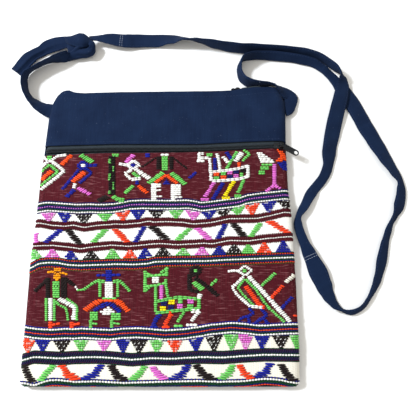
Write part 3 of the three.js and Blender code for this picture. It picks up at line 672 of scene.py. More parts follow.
# %% Band and back panel
BAND_STITCH = 2.6
MOUTH_STITCH = 6.5
STITCH_PULL = 0.28
PULL_WIDE = 0.7
PANEL_STEPS = 90
share, turn = columns(PANEL_STEPS, 7)
nominal_x = (share - 0.5) * BAG_WIDTH
band_low = read(BAND_EDGE, nominal_x)
band_high = read(MOUTH_EDGE, nominal_x)
band_y = rows_with_hems(band_low, band_high, 40)
band_x = column_x(share[:, None], turn[:, None], band_y)
to_low = band_y - band_low[:, None]
to_high = band_high[:, None] - band_y
pulled = -STITCH_PULL * (np.exp(-((to_low - BAND_STITCH) / PULL_WIDE) ** 2)
                         + np.exp(-((to_high - MOUTH_STITCH) / PULL_WIDE) ** 2))
puckers = (0.12 * np.sin(band_x / 2.9) * np.exp(-to_low / 6)
           + 0.1 * np.sin(band_x / 4.1 + 1) * np.exp(-to_high / 9))
front_band = cloth_panel("front_band_cloth", band_x, band_y, NAVY_THICK, np.minimum(to_low, to_high),
                         pulled + puckers)
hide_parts("front_band")

back_top = read(MOUTH_EDGE, nominal_x)
back_y = np.hstack([
    BAG_BOTTOM + EDGE_ROLL * (1 - np.cos(np.linspace(0, math.pi / 2, 8))) * np.ones((len(share), 1)),
    rows_with_hems(np.full(len(share), BAG_BOTTOM + EDGE_ROLL), back_top, 60)[:, 1:]])
back_x = column_x(share[:, None], turn[:, None], back_y)
back_panel = cloth_panel("back_panel_cloth", back_x, back_y, NAVY_THICK, back_top[:, None] - back_y, side=-1)
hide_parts("back_panel")
dress(navy_panel, front_band, back_panel)
print("band faces", len(front_band.data.polygons), "back faces", len(back_panel.data.polygons))

# %% [markdown]
# ## Reading the weaver's chart
# The figures and stripes were read from the picture, stroke by stroke, and are kept as a chart on the
# picture's own paper: across from the left, down from the top. A line of sight from the camera through a
# point of the chart meets the front of the bag in one place, which puts each stroke where it is on the real
# cloth.

# %% From chart to cloth
def on_front(across, down):
    """Place on the front, in millimetres, of points of the chart."""
    right = (np.asarray(across, float) - PICTURE_SIDE / 2) / PICTURE_FOCAL
    up = (PICTURE_SIDE / 2 - np.asarray(down, float)) / PICTURE_FOCAL
    way_y = up * math.cos(LEAN) + math.sin(LEAN)
    way_z = up * math.sin(LEAN) - math.cos(LEAN)
    z = SEAM_HEIGHT + FRONT_RISE
    for _ in range(4):
        reach = (z - EYE[2]) / way_z
        x, y = EYE[0] + reach * right, EYE[1] + reach * way_y
        z = skin(x, y)[..., 2]
    return x, y


def line_on_front(line, lower=0.0):
    """A wavy line of the chart, moved down by so much, as a table of x and y on the cloth."""
    points = np.array(line, float)
    across = np.linspace(points[0, 0], points[-1, 0], 160)
    x, y = on_front(across, np.interp(across, points[:, 0], points[:, 1]) + lower)
    order = np.argsort(x)
    return np.stack([x[order], y[order]], 1)

# %% [markdown]
# ## The striped bands
# Seven bands cross the front. Each has one white line of beaded weft that was easy to follow in the
# picture, and the other lines of the band keep a steady distance from it. The cloth isn't quite flat, so
# the lines wave.

# %% Lines of the bands
At = namedtuple("At", "across down")
Line = namedtuple("Line", "lower colour look")
S1_LINE = [
    At(40, 204), At(48, 202.6), At(61, 203.6), At(76, 204.8), At(91, 204.3), At(101, 204.8), At(113, 204.2),
    At(122, 202.8), At(130, 201), At(142, 200.5), At(168, 200.8), At(188, 200.4), At(195, 201.3),
    At(201, 202.9), At(210, 202), At(219, 200.7), At(232, 199.3), At(240, 198.1), At(246, 195.7),
    At(258, 193.8), At(268, 192.8), At(285, 190.9),
]
M1_LINE = [
    At(40, 223.2), At(52, 225.4), At(65, 226.4), At(73, 225.1), At(84, 227.6), At(96, 225.7),
    At(116, 224.1), At(123, 224.5), At(139, 223.2), At(148, 221.3), At(155, 222.2), At(167, 221.7),
    At(183, 222.5), At(193, 224.1), At(206, 223.2), At(213, 222.3), At(229, 218.8), At(257, 218.5),
    At(270, 215.9), At(284, 212.4),
]
M2_LINE = [
    At(34, 246.1), At(52, 245.5), At(71, 247.4), At(81, 249), At(90, 247.4), At(112, 245.2), At(129, 246.5),
    At(148, 244.5), At(160, 243.6), At(177, 244.9), At(205, 243.3), At(213, 244), At(229, 240.5),
    At(248, 241.1), At(264, 238.9), At(289, 236.7),
]
S2_LINE = [
    At(31.5, 268), At(39, 263.7), At(49, 262.7), At(58, 263), At(68, 265), At(81, 265.6), At(96, 265),
    At(115, 264.3), At(135, 264.6), At(148, 263.7), At(155, 262), At(174, 261.4), At(206, 261.1),
    At(225, 260), At(251, 259), At(292, 257.4),
]
S3_LINE = [
    At(25.6, 327.3), At(35, 328.9), At(51, 329.9), At(66, 328.9), At(74, 329.4), At(81, 328.6),
    At(99, 329.6), At(111, 330.1), At(123, 328.7), At(137, 328.2), At(149, 328.9), At(165, 330.4),
    At(184, 329.3), At(200, 327), At(211, 324.9), At(216, 324.5), At(232, 322.9), At(245, 323.9),
    At(260, 325.8), At(290, 324.2),
]
N1_LINE = [
    At(22, 360.5), At(34, 357.1), At(48, 357.8), At(62, 358.5), At(75, 357.5), At(95, 357.1),
    At(110, 357.8), At(132, 359.8), At(152, 358.2), At(172, 358.8), At(200, 357.1), At(223, 357.6),
    At(244, 355.9), At(265, 354.8), At(297, 355.2),
]
E1_LINE = [
    At(25.7, 383.3), At(34, 385.3), At(45, 381.3), At(52, 379.9), At(62, 380.3), At(75, 381.9),
    At(95, 381.3), At(124, 382.9), At(155, 381.9), At(199, 381), At(220, 381.8), At(244, 381.1),
    At(265, 378.7), At(279, 379.7), At(295, 382.9),
]
S1_ROWS = [Line(-1.6, "navy", "thin"), Line(0, "white", "beads"), Line(1.5, "dark_green", "line"),
           Line(2.8, "navy", "line"), Line(4.0, "purple", "dots"), Line(5.2, "navy", "line"),
           Line(6.5, "dark_green", "line"), Line(8.0, "white", "beads"), Line(9.3, "navy", "thin")]
M_ROWS = [Line(-2.7, "maroon", "cord"), Line(2.7, "maroon", "cord"), Line(0, "white", "nicked")]
S2_ROWS = [Line(-5.4, "dark_green", "thin"), Line(-4.2, "red", "dots"), Line(-2.7, "navy", "line"),
           Line(-1.5, "dark_green", "line"), Line(0, "white", "beads"), Line(1.5, "dark_green", "line"),
           Line(2.7, "navy", "line"), Line(4.2, "red", "dots"), Line(5.3, "olive", "thin")]
S3_ROWS = [Line(-1.7, "blue", "thin"), Line(0, "white", "beads"), Line(1.6, "dark_green", "line"),
           Line(3.2, "navy", "line"), Line(4.7, "red", "thin"), Line(6.2, "navy", "line"),
           Line(7.8, "dark_green", "line"), Line(9.3, "white", "beads"), Line(10.6, "navy", "thin")]
N1_ROWS = [Line(-6.3, "dark_green", "thin"), Line(-5.1, "maroon", "thin"), Line(-3.6, "indigo", "cord"),
           Line(-1.5, "dark_green", "line"), Line(0, "white", "beads"), Line(1.5, "dark_green", "line"),
           Line(3.6, "indigo", "cord"), Line(5.1, "maroon", "thin"), Line(6.3, "dark_green", "thin")]
E1_ROWS = [Line(-1.8, "blue", "dashes"), Line(0, "white", "beads"), Line(1.6, "dark_green", "line"),
           Line(2.9, "dark_green", "line"), Line(4.2, "navy", "line"), Line(5.4, "red", "thin")]

# %% [markdown]
# ## The woven ground
# The ground cloth carries the bands: maroon in the two fields of figures, near black under the stripes and
# white under the triangles and zigzags. Its mesh has rows that follow the band lines, so each colour ends
# exactly where a band does, as it does on the loom.

# %% Woven panel
WOVEN_THICK = 1.8
WOVEN_STEPS = 150
Zone = namedtuple("Zone", "top lower colour rows")
ZONES = [
    Zone(E1_LINE, -2.4, "night", 9), Zone(N1_LINE, 6.9, "cream", 10), Zone(N1_LINE, -6.9, "night", 9),
    Zone(S3_LINE, 11.2, "cream", 8), Zone(S3_LINE, -2.2, "night", 9), Zone(S2_LINE, 5.9, "maroon", 34),
    Zone(S2_LINE, -6.0, "night", 8), Zone(M2_LINE, 4.0, "white", 8), Zone(M2_LINE, -4.0, "maroon", 6),
    Zone(M1_LINE, 4.0, "white", 9), Zone(M1_LINE, -4.0, "maroon", 6), Zone(S1_LINE, 9.8, "white", 8),
    Zone(S1_LINE, -2.2, "night", 8), Zone(None, 0, "maroon", 30),
]
YARN = {
    "white": linear((250, 250, 247)), "cream": linear((242, 239, 226)), "maroon": linear((86, 25, 35)),
    "night": linear((20, 18, 38)), "navy": linear((30, 32, 98)), "blue": linear((28, 34, 146)),
    "black": linear((34, 26, 26)), "green": linear((112, 204, 98)), "dark_green": linear((18, 66, 40)),
    "red": linear((246, 70, 34)), "orange": linear((250, 84, 32)), "pink": linear((226, 112, 208)),
    "purple": linear((226, 128, 238)), "yellow": linear((250, 226, 24)), "gold": linear((250, 158, 20)),
    "olive": linear((96, 84, 40)), "indigo": linear((34, 28, 64)),
}
share, turn = columns(WOVEN_STEPS, 8)
nominal_x = (share - 0.5) * BAG_WIDTH + EDGE_ROLL * turn
woven_top = read(WOVEN_EDGE, nominal_x)
woven_y, woven_zone = [np.full((len(share), 1), BAG_BOTTOM)], []
below = np.full(len(share), BAG_BOTTOM)
for zone in ZONES:
    above = woven_top
    if zone.top is not None:
        table = line_on_front(zone.top, zone.lower)
        above = read(table, nominal_x)
        for _ in range(3):
            above = read(table, column_x(share, turn, above))
    step = np.linspace(0, 1, zone.rows + 1)[1:]
    if not woven_zone:
        step = step ** 2
    woven_y.append(below[:, None] + (above - below)[:, None] * step)
    woven_zone += [zone.colour] * zone.rows
    below = above
woven_y = np.hstack(woven_y)
woven_x = column_x(share[:, None], turn[:, None], woven_y)
woven_panel = cloth_panel("woven_panel_cloth", woven_x, woven_y, WOVEN_THICK, woven_top[:, None] - woven_y)
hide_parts("woven_panel")
row_colour = np.array([YARN[name] for name in woven_zone])
face_colour = np.tile(row_colour, (len(share) - 1, 1))
walls = np.tile(YARN["maroon"], (len(woven_panel.data.polygons) - 2 * len(face_colour), 1))
corner_colour = np.repeat(np.vstack([face_colour, face_colour, walls]), 4, axis=0)
set_colour(woven_panel, "ground", "CORNER", corner_colour)
print("woven panel faces", len(woven_panel.data.polygons))

# %% [markdown]
# ## Ground finish
# The ground is warp-faced wool: fine upright ribs about a millimetre apart, crossed by faint slubs and stray
# pale fibres. The colour comes from the mesh, and the ribs and slubs lighten and darken it.

# %% Ground material
ground_material, tree, shader = new_material("woven_ground", 0.95, sheen=0.03)
place = cloth_place(tree, False)
height, shade = woven(tree, place, 2.0, 0.7)
colour = mesh_colour(tree, "ground")
less_on_white = spread(tree, node(tree, "ShaderNodeRGBToBW", [(0, colour)]).outputs[0], 0.0, 1.0, 1.0, 0.3)
ribs = maths(tree, "MULTIPLY", spread(tree, shade, 0.3, 0.7, 0.0, 0.64), less_on_white)
shaded = mixed(tree, ribs, colour, (0.0, 0.0, 0.0))
weft = stretched(tree, place, (0.12, 1.1, 1.0))
slub = spread(tree, noise(tree, weft, 1.0, 3.0), 0.56, 0.74, 0.0, 0.4)
pale = mixed(tree, maths(tree, "MULTIPLY", slub, less_on_white), shaded, linear((176, 120, 124)))
tree.links.new(pale, shader.inputs["Base Color"])
add_bump(tree, shader, height, 0.5, 0.0004)
dress(ground_material, woven_panel)
print("ground nodes:", len(tree.nodes))

# %% [markdown]
# ## One float of yarn
# Brocade is made of floats: short lengths of yarn that lie on top of the ground and dive under it at both
# ends. One float is a lens of two dozen triangles, flat underneath and round on top. Thousands of them are
# laid at once, each with its own place, turn, length, width, height and colour, and each bends with the
# cloth under it.

# %% Floats of yarn
Float = namedtuple("Float", "x y turn long wide high colour")
RING_ALONG = np.array([-0.34, 0.0, 0.34])
RING_SIZE = np.array([0.84, 1.0, 0.84])
ROUND_ACROSS = np.array([-0.5, -0.27, 0.27, 0.5])
ROUND_UP = np.array([-0.2, 1.0, 1.0, -0.2])
SINK = -0.05
float_along = np.concatenate([[-0.5], np.repeat(RING_ALONG, 4), [0.5]])
float_across = np.concatenate([[0], np.outer(RING_SIZE, ROUND_ACROSS).ravel(), [0]])
float_up = np.concatenate([[SINK], np.outer(RING_SIZE, ROUND_UP).ravel(), [SINK]])
# Painted shade: the edge and tip points of a float are darker than its crest, so dark grooves show between
# neighbouring floats.
float_painted_shade = np.concatenate([[0.5], np.tile([0.55, 1.05, 1.05, 0.55], 3), [0.5]])
FLOAT_FACES = ([(r * 4 + 1 + k, r * 4 + 5 + k, r * 4 + 5 + (k + 1) % 4, r * 4 + 1 + (k + 1) % 4)
                for r in range(2) for k in range(4)]
               + [(0, 1 + k, 1 + (k + 1) % 4) for k in range(4)]
               + [(13, 9 + (k + 1) % 4, 9 + k) for k in range(4)])
FLOAT_CORNERS = np.concatenate(FLOAT_FACES)


def on_the_cloth(floats):
    """Leaves out floats beyond the rims and draws those that cross a rim back onto the cloth."""
    kept = []
    for one in floats:
        left, right = side_edges(one.y)
        reach = (abs(math.cos(one.turn)) * one.long + abs(math.sin(one.turn)) * one.wide) / 2
        rise = (abs(math.sin(one.turn)) * one.long + abs(math.cos(one.turn)) * one.wide) / 2
        if left < one.x < right and one.y > BAG_BOTTOM:
            across = min(max(one.x, left + reach), right - reach)
            kept.append(one._replace(x=across, y=max(one.y, BAG_BOTTOM + rise)))
    return kept


def lens_piece(name, points, u, v, colours):
    """One mesh of many lenses, from their points, their places along and across, and their colours."""
    starts = np.arange(len(u)) * len(float_along)
    faces = [[s + i for i in face] for s in starts for face in FLOAT_FACES]
    piece = mesh_piece(name, points.reshape(-1, 3), faces)
    set_colour(piece, "yarn", "POINT", colours.reshape(-1, 3))
    set_uv(piece, np.stack([u[:, FLOAT_CORNERS], v[:, FLOAT_CORNERS]], -1).reshape(-1, 2))
    return piece


def lay_floats(name, floats, lift=0.0):
    """One mesh of many floats of yarn on the front of the bag."""
    floats = on_the_cloth(floats)
    x, y, turn, long, wide, high = (np.array([getattr(f, c) for f in floats])[:, None]
                                    for c in ("x", "y", "turn", "long", "wide", "high"))
    u, v = float_along * long, float_across * wide
    points = skin(x + u * np.cos(turn) - v * np.sin(turn), y + u * np.sin(turn) + v * np.cos(turn),
                  lift + float_up * high)
    dye = np.array([f.colour for f in floats])[:, None]
    # Painted shade, deepest on dark yarn and faint on pale yarn, darkens each float towards its edges and tips.
    painted_groove_shade = (1 - float_painted_shade[:, None]) * (1 - 0.7 * dye.min(axis=2, keepdims=True))
    return lens_piece(name, points, u, v, dye * (1 - painted_groove_shade))


luck = np.random.default_rng(7)


def dyed(name, change=0.1):
    """A yarn colour with the small unevenness of hand dyeing."""
    return YARN[name] * (1 + change * luck.uniform(-1, 1))

# %% [markdown]
# ## Weft lines
# The lines of a band are rows of floats along a wavy line. Beads are short and full, with painted shade
# darkening the gaps between them, plain lines overlap, and cords are slanted floats that lean one way.

# %% Rows of floats
Look = namedtuple("Look", "pitch fill wide high slant")
LOOKS = {
    "beads": Look(2.5, 1.06, 1.85, 0.75, 0), "line": Look(2.4, 1.12, 1.35, 0.5, 0),
    "thin": Look(2.4, 1.05, 1.0, 0.45, 0), "dashes": Look(3.1, 0.7, 1.3, 0.5, 0),
    "dots": Look(2.3, 0.68, 1.25, 0.6, 0), "cord": Look(1.9, 2.7, 1.7, 0.7, 64),
    "nicked": Look(2.4, 1.0, 1.3, 0.8, 0),
}


def row_of_floats(line, row):
    """Floats along one line of a band, from rim to rim."""
    look = LOOKS[row.look]
    table = line_on_front(line, row.lower)
    x = np.linspace(-BAG_WIDTH / 2 - 2, BAG_WIDTH / 2 + 2, 1500)
    y = read(table, x)
    left, right = side_edges(y)
    inside = (x > left + 0.05) & (x < right - 0.05)
    points = skin(x[inside], y[inside])
    run = run_along(points)
    count = int(run[-1] / look.pitch)
    middle = (np.arange(count) + 0.5) * run[-1] / count
    found = []
    for s in middle:
        ends = [np.interp(s + d * look.pitch / 2, run, points[:, c]) for d in (-1, 1) for c in (0, 1)]
        heading = math.atan2(ends[3] - ends[1], ends[2] - ends[0])
        reach = math.hypot(ends[2] - ends[0], ends[3] - ends[1])
        found.append(Float((ends[0] + ends[2]) / 2, (ends[1] + ends[3]) / 2 + luck.normal(0, 0.06),
                           heading + math.radians(look.slant) + luck.normal(0, 0.05),
                           reach * look.fill * luck.uniform(0.92, 1.06), look.wide, look.high,
                           dyed(row.colour, 0.14)))
    return found


def band_floats(*bands):
    """Floats of all the lines of some bands."""
    return [f for line, rows in bands for row in rows for f in row_of_floats(line, row)]


upper_rows = band_floats((S1_LINE, S1_ROWS), (M1_LINE, M_ROWS), (M2_LINE, M_ROWS), (S2_LINE, S2_ROWS))
lower_rows = band_floats((S3_LINE, S3_ROWS), (N1_LINE, N1_ROWS), (E1_LINE, E1_ROWS))
upper_bands = lay_floats("upper_band_yarn", upper_rows)
lower_bands = lay_floats("lower_band_yarn", lower_rows)
print("floats in the bands", len(upper_rows), len(lower_rows))

# %% [markdown]
# ## Strokes and patches
# A figure is drawn the way it was brocaded. A stroke is a stack of short floats laid side by side along a
# path, leaning part of the way from the weft toward square with the path. A stroke that runs almost along the
# weft is laid lengthwise instead. A patch is filled row by row.

# %% Floats for strokes and patches
Stroke = namedtuple("Stroke", "colour wide path")
Patch = namedtuple("Patch", "colour corners")
FLOAT_PITCH = 1.85
FLOAT_HIGH = 0.85
LONGEST_FLOAT = 4.6
LEAN_SHARE = 0.55
FLAT_STROKE = 2.4
STROKE_SWELL = 1.14


def lengthwise(start, end, wide, colour):
    """Rows of floats end to end along a stroke that follows the weft."""
    long = math.dist(start, end)
    heading = math.atan2(end[1] - start[1], end[0] - start[0])
    rows = max(1, round(wide / FLOAT_PITCH))
    found = []
    for row in range(rows):
        off = (row - (rows - 1) / 2) * wide / rows
        pieces = max(1, math.ceil(long / LONGEST_FLOAT))
        for i in range(pieces):
            s = (i + 0.5) * long / pieces + luck.uniform(-0.2, 0.2)
            found.append(Float(start[0] + s * math.cos(heading) - off * math.sin(heading),
                               start[1] + s * math.sin(heading) + off * math.cos(heading), heading,
                               long / pieces * 1.06 + luck.uniform(0, 0.8), wide / rows * 1.1, FLOAT_HIGH,
                               dyed(colour)))
    return found


def stacked(start, end, wide, colour, lean=LEAN_SHARE):
    """Floats side by side along a stroke that climbs across the weft."""
    long = math.dist(start, end)
    heading = math.atan2(end[1] - start[1], end[0] - start[0])
    square = math.remainder(heading + math.pi / 2, math.pi)
    turn = lean * square
    step = FLOAT_PITCH / max(0.5, math.cos(square - turn))
    count = max(1, round(long / step))
    found = []
    for i in range(count):
        s = (i + 0.5) * long / count
        size = wide / math.cos(square - turn) * luck.uniform(0.86, 1.2)
        found.append(Float(start[0] + s * math.cos(heading) + luck.uniform(-0.35, 0.35),
                           start[1] + s * math.sin(heading), turn + luck.normal(0, 0.04), size,
                           long / count * 1.1 * max(0.5, math.cos(square - turn)), FLOAT_HIGH, dyed(colour)))
    return found


def stroke_floats(stroke, lean=LEAN_SHARE):
    """Floats of one stroke."""
    x, y = on_front(*np.array(stroke.path, float).T)
    found = []
    for start, end in zip(zip(x[:-1], y[:-1]), zip(x[1:], y[1:])):
        if abs(end[0] - start[0]) > FLAT_STROKE * abs(end[1] - start[1]):
            found += lengthwise(start, end, stroke.wide * STROKE_SWELL, stroke.colour)
        else:
            found += stacked(start, end, stroke.wide * STROKE_SWELL, stroke.colour, lean)
    return found


def spans(x, y, height):
    """Stretches of a row that lie inside an outline."""
    cuts = []
    for i in range(len(x)):
        j = (i + 1) % len(x)
        if (y[i] > height) != (y[j] > height):
            cuts.append(x[i] + (height - y[i]) / (y[j] - y[i]) * (x[j] - x[i]))
    cuts.sort()
    return zip(cuts[::2], cuts[1::2])


def patch_floats(patch, fleck=0.0, longest=LONGEST_FLOAT):
    """Rows of floats that fill an outline. fleck is the share of floats paled by white showing through."""
    x, y = on_front(*np.array(patch.corners, float).T)
    rows = max(1, round((y.max() - y.min()) / FLOAT_PITCH))
    step = (y.max() - y.min()) / rows
    found = []
    for row in range(rows):
        height = y.min() + (row + 0.5) * step
        for left, right in spans(x, y, height):
            pieces = max(1, math.ceil((right - left) / longest))
            cuts = np.linspace(left, right, pieces + 1)
            if row % 2 and pieces > 1:
                cuts = np.concatenate([cuts[:1], (cuts[1:] + cuts[:-1]) / 2, cuts[-1:]])
            for start, end in zip(cuts[:-1], cuts[1:]):
                tone = dyed(patch.colour)
                if luck.random() < fleck:
                    tone = 0.7 * tone + 0.3 * YARN["white"]
                turn = luck.normal(0, 0.03)
                long = (end - start) * 1.12 + luck.uniform(0, 0.9)
                found.append(Float((start + end) / 2, height, turn, long, step * 1.16, FLOAT_HIGH, tone))
    return found


def block(colour, across, down, wide, tall):
    """Upright patch round a middle."""
    left, right, top, low = across - wide / 2, across + wide / 2, down - tall / 2, down + tall / 2
    return Patch(colour, [At(left, top), At(right, top), At(right, low), At(left, low)])


def bar(colour, wide, across, down, end_across, end_down):
    """Straight stroke from a place to an end."""
    return Stroke(colour, wide, [At(across, down), At(end_across, end_down)])


def ring(corners):
    """Path round corners and back to the first one."""
    return corners + corners[:1]

# %% [markdown]
# ## Triangles and zigzags
# Rows of triangles hang from the upper stripe of each white band or stand on the lower one, and a zigzag of
# bars crosses the band between. The colours follow in turn: pink or red, blue, black, green. Black
# triangles are flecked with short slanted dashes of white.

# %% Chart of triangles and zigzags
Wedge = namedtuple("Wedge", "colour across")
WEDGE_COLOURS = ["pink", "blue", "black", "green", "red", "blue", "black", "green"]
HANGING_1 = [48.7, 65, 84, 105, 123, 138, 156.6, 176, 193, 209, 223.6, 238, 252, 269, 286]
STANDING_2 = [34.7, 52.5, 71, 91, 112.5, 130, 145, 163, 183, 202, 219, 234, 248, 264, 283]
HANGING_3 = [28, 42.5, 62, 81, 104, 123, 139, 156.6, 175, 196, 214, 231.5, 245.5, 262, 281, 297]
ZIGZAG_1 = [
    bar("pink", 5.0, 34, 232, 37, 243), bar("blue", 5.2, 61, 229.5, 45.5, 243),
    bar("black", 6.0, 67, 229, 80.6, 245), bar("green", 5.0, 106, 229.5, 92.7, 242.5),
    bar("red", 5.4, 114.5, 229, 128, 242.6), bar("blue", 4.8, 144.6, 226.5, 135, 242.5),
    bar("black", 6.2, 151.5, 226, 167, 240), bar("green", 5.2, 190, 228.5, 177, 240.5),
    bar("pink", 5.2, 197, 228, 210, 240), bar("blue", 5.0, 225.5, 224, 218, 239),
    bar("black", 6.0, 232.5, 223, 244.6, 237), bar("green", 5.0, 260.6, 223, 250.5, 237),
    bar("red", 5.4, 269, 221, 288, 233),
]
ZIGZAG_2 = [
    Stroke("black", 6.0, [At(23.7, 364), At(28, 376), At(33.5, 382)]),
    Stroke("green", 5.6, [At(53.5, 365), At(46, 374), At(39.8, 381)]),
    Stroke("red", 6.0, [At(61.5, 365), At(67, 373.5), At(77, 380)]),
    Stroke("blue", 6.2, [At(101.4, 364.5), At(95, 374), At(84, 379.5)]),
    Stroke("black", 6.4, [At(110.5, 365), At(116.5, 375), At(125, 381)]),
    Stroke("green", 5.6, [At(145, 366), At(138.5, 375), At(131.5, 380)]),
    Stroke("pink", 5.6, [At(152, 366.5), At(158, 374), At(165, 379.5)]),
    Stroke("blue", 6.2, [At(188.5, 364.5), At(182, 374.5), At(172, 379.5)]),
    Stroke("black", 6.6, [At(196, 364.5), At(203, 374), At(213, 380)]),
    Stroke("green", 6.0, [At(233.6, 364.5), At(228, 374), At(221, 379.3)]),
    Stroke("red", 6.0, [At(239, 364.5), At(244, 373), At(252, 379)]),
    Stroke("blue", 6.2, [At(270.8, 363), At(265.5, 372), At(257, 377.5)]),
    Stroke("black", 6.4, [At(280.5, 364), At(286.5, 374), At(294, 381)]),
]
WEDGE_HALF = 7.7
BLACK_HALF = 8.8
WEDGE_FLOAT = 2.6
ZIGZAG_LEAN = 0.12
WEDGE_TIP = 1.3
DASH_TURN = math.radians(48)
DASH_PITCH = 3.4
DASH_STEP = 2.9
DASH_LONG = 2.0
DASH_WIDE = 0.85
DASH_HIGH = FLOAT_HIGH * 1.3
DASH_STRAY = 0.3


def wedges_in_turn(first, places):
    """Triangles at places across, with the colours in turn from a first one on."""
    return [Wedge(WEDGE_COLOURS[(first + i) % len(WEDGE_COLOURS)], across) for i, across in enumerate(places)]


def wedge_corners(wedge, base, base_lower, tip, tip_lower):
    """Outline of a triangle between two lines of the chart."""
    at_base, at_tip = np.array(base, float), np.array(tip, float)
    half = BLACK_HALF if wedge.colour == "black" else WEDGE_HALF
    sides = [(wedge.across - half, at_base, base_lower), (wedge.across + half, at_base, base_lower),
             (wedge.across + WEDGE_TIP, at_tip, tip_lower), (wedge.across - WEDGE_TIP, at_tip, tip_lower)]
    return [At(across, np.interp(across, line[:, 0], line[:, 1]) + lower) for across, line, lower in sides]


def white_dashes(corners):
    """Short slanted dashes of white inside a triangle, two or three to a row."""
    x, y = on_front(*np.array(corners, float).T)
    found = []
    for height in np.arange(y.min() + DASH_STEP * 0.7, y.max() - 1.0, DASH_STEP):
        for left, right in spans(x, y, height):
            count = int((right - left) / DASH_PITCH)
            for i in range(count):
                place = left + (i + 0.5) * (right - left) / count + luck.uniform(-DASH_STRAY, DASH_STRAY)
                up = height + luck.uniform(-DASH_STRAY, DASH_STRAY)
                turn = DASH_TURN + luck.normal(0, 0.15)
                found.append(Float(place, up, turn, DASH_LONG, DASH_WIDE, DASH_HIGH, dyed("white")))
    return found


def wedge_floats(wedges, base, base_lower, tip, tip_lower):
    """Floats of a row of triangles."""
    found = []
    for wedge in wedges:
        corners = wedge_corners(wedge, base, base_lower, tip, tip_lower)
        fleck = 0.06 if wedge.colour in ("blue", "black") else 0.3
        found += patch_floats(Patch(wedge.colour, corners), fleck, WEDGE_FLOAT)
        if wedge.colour == "black":
            found += white_dashes(corners)
    return found


upper_motifs = wedge_floats(wedges_in_turn(0, HANGING_1), S1_LINE, 9.6, M1_LINE, -3.6)
upper_motifs += wedge_floats(wedges_in_turn(7, STANDING_2), S2_LINE, -5.8, M2_LINE, 3.6)
lower_motifs = wedge_floats(wedges_in_turn(4, HANGING_3), S3_LINE, 11.0, N1_LINE, -6.4)
upper_motifs += [f for stroke in ZIGZAG_1 for f in stroke_floats(stroke, ZIGZAG_LEAN)]
lower_motifs += [f for stroke in ZIGZAG_2 for f in stroke_floats(stroke, ZIGZAG_LEAN)]
print("floats in triangles and zigzags", len(upper_motifs), len(lower_motifs))

# %% [markdown]
# ## Figures of the upper field
# Above the first band stand, from left to right: a bird cut by the edge, a blue bird, a striped staff, a
# white bird, a rider under an arch, a horse with a chequered body, and a leaf beside a small tree.

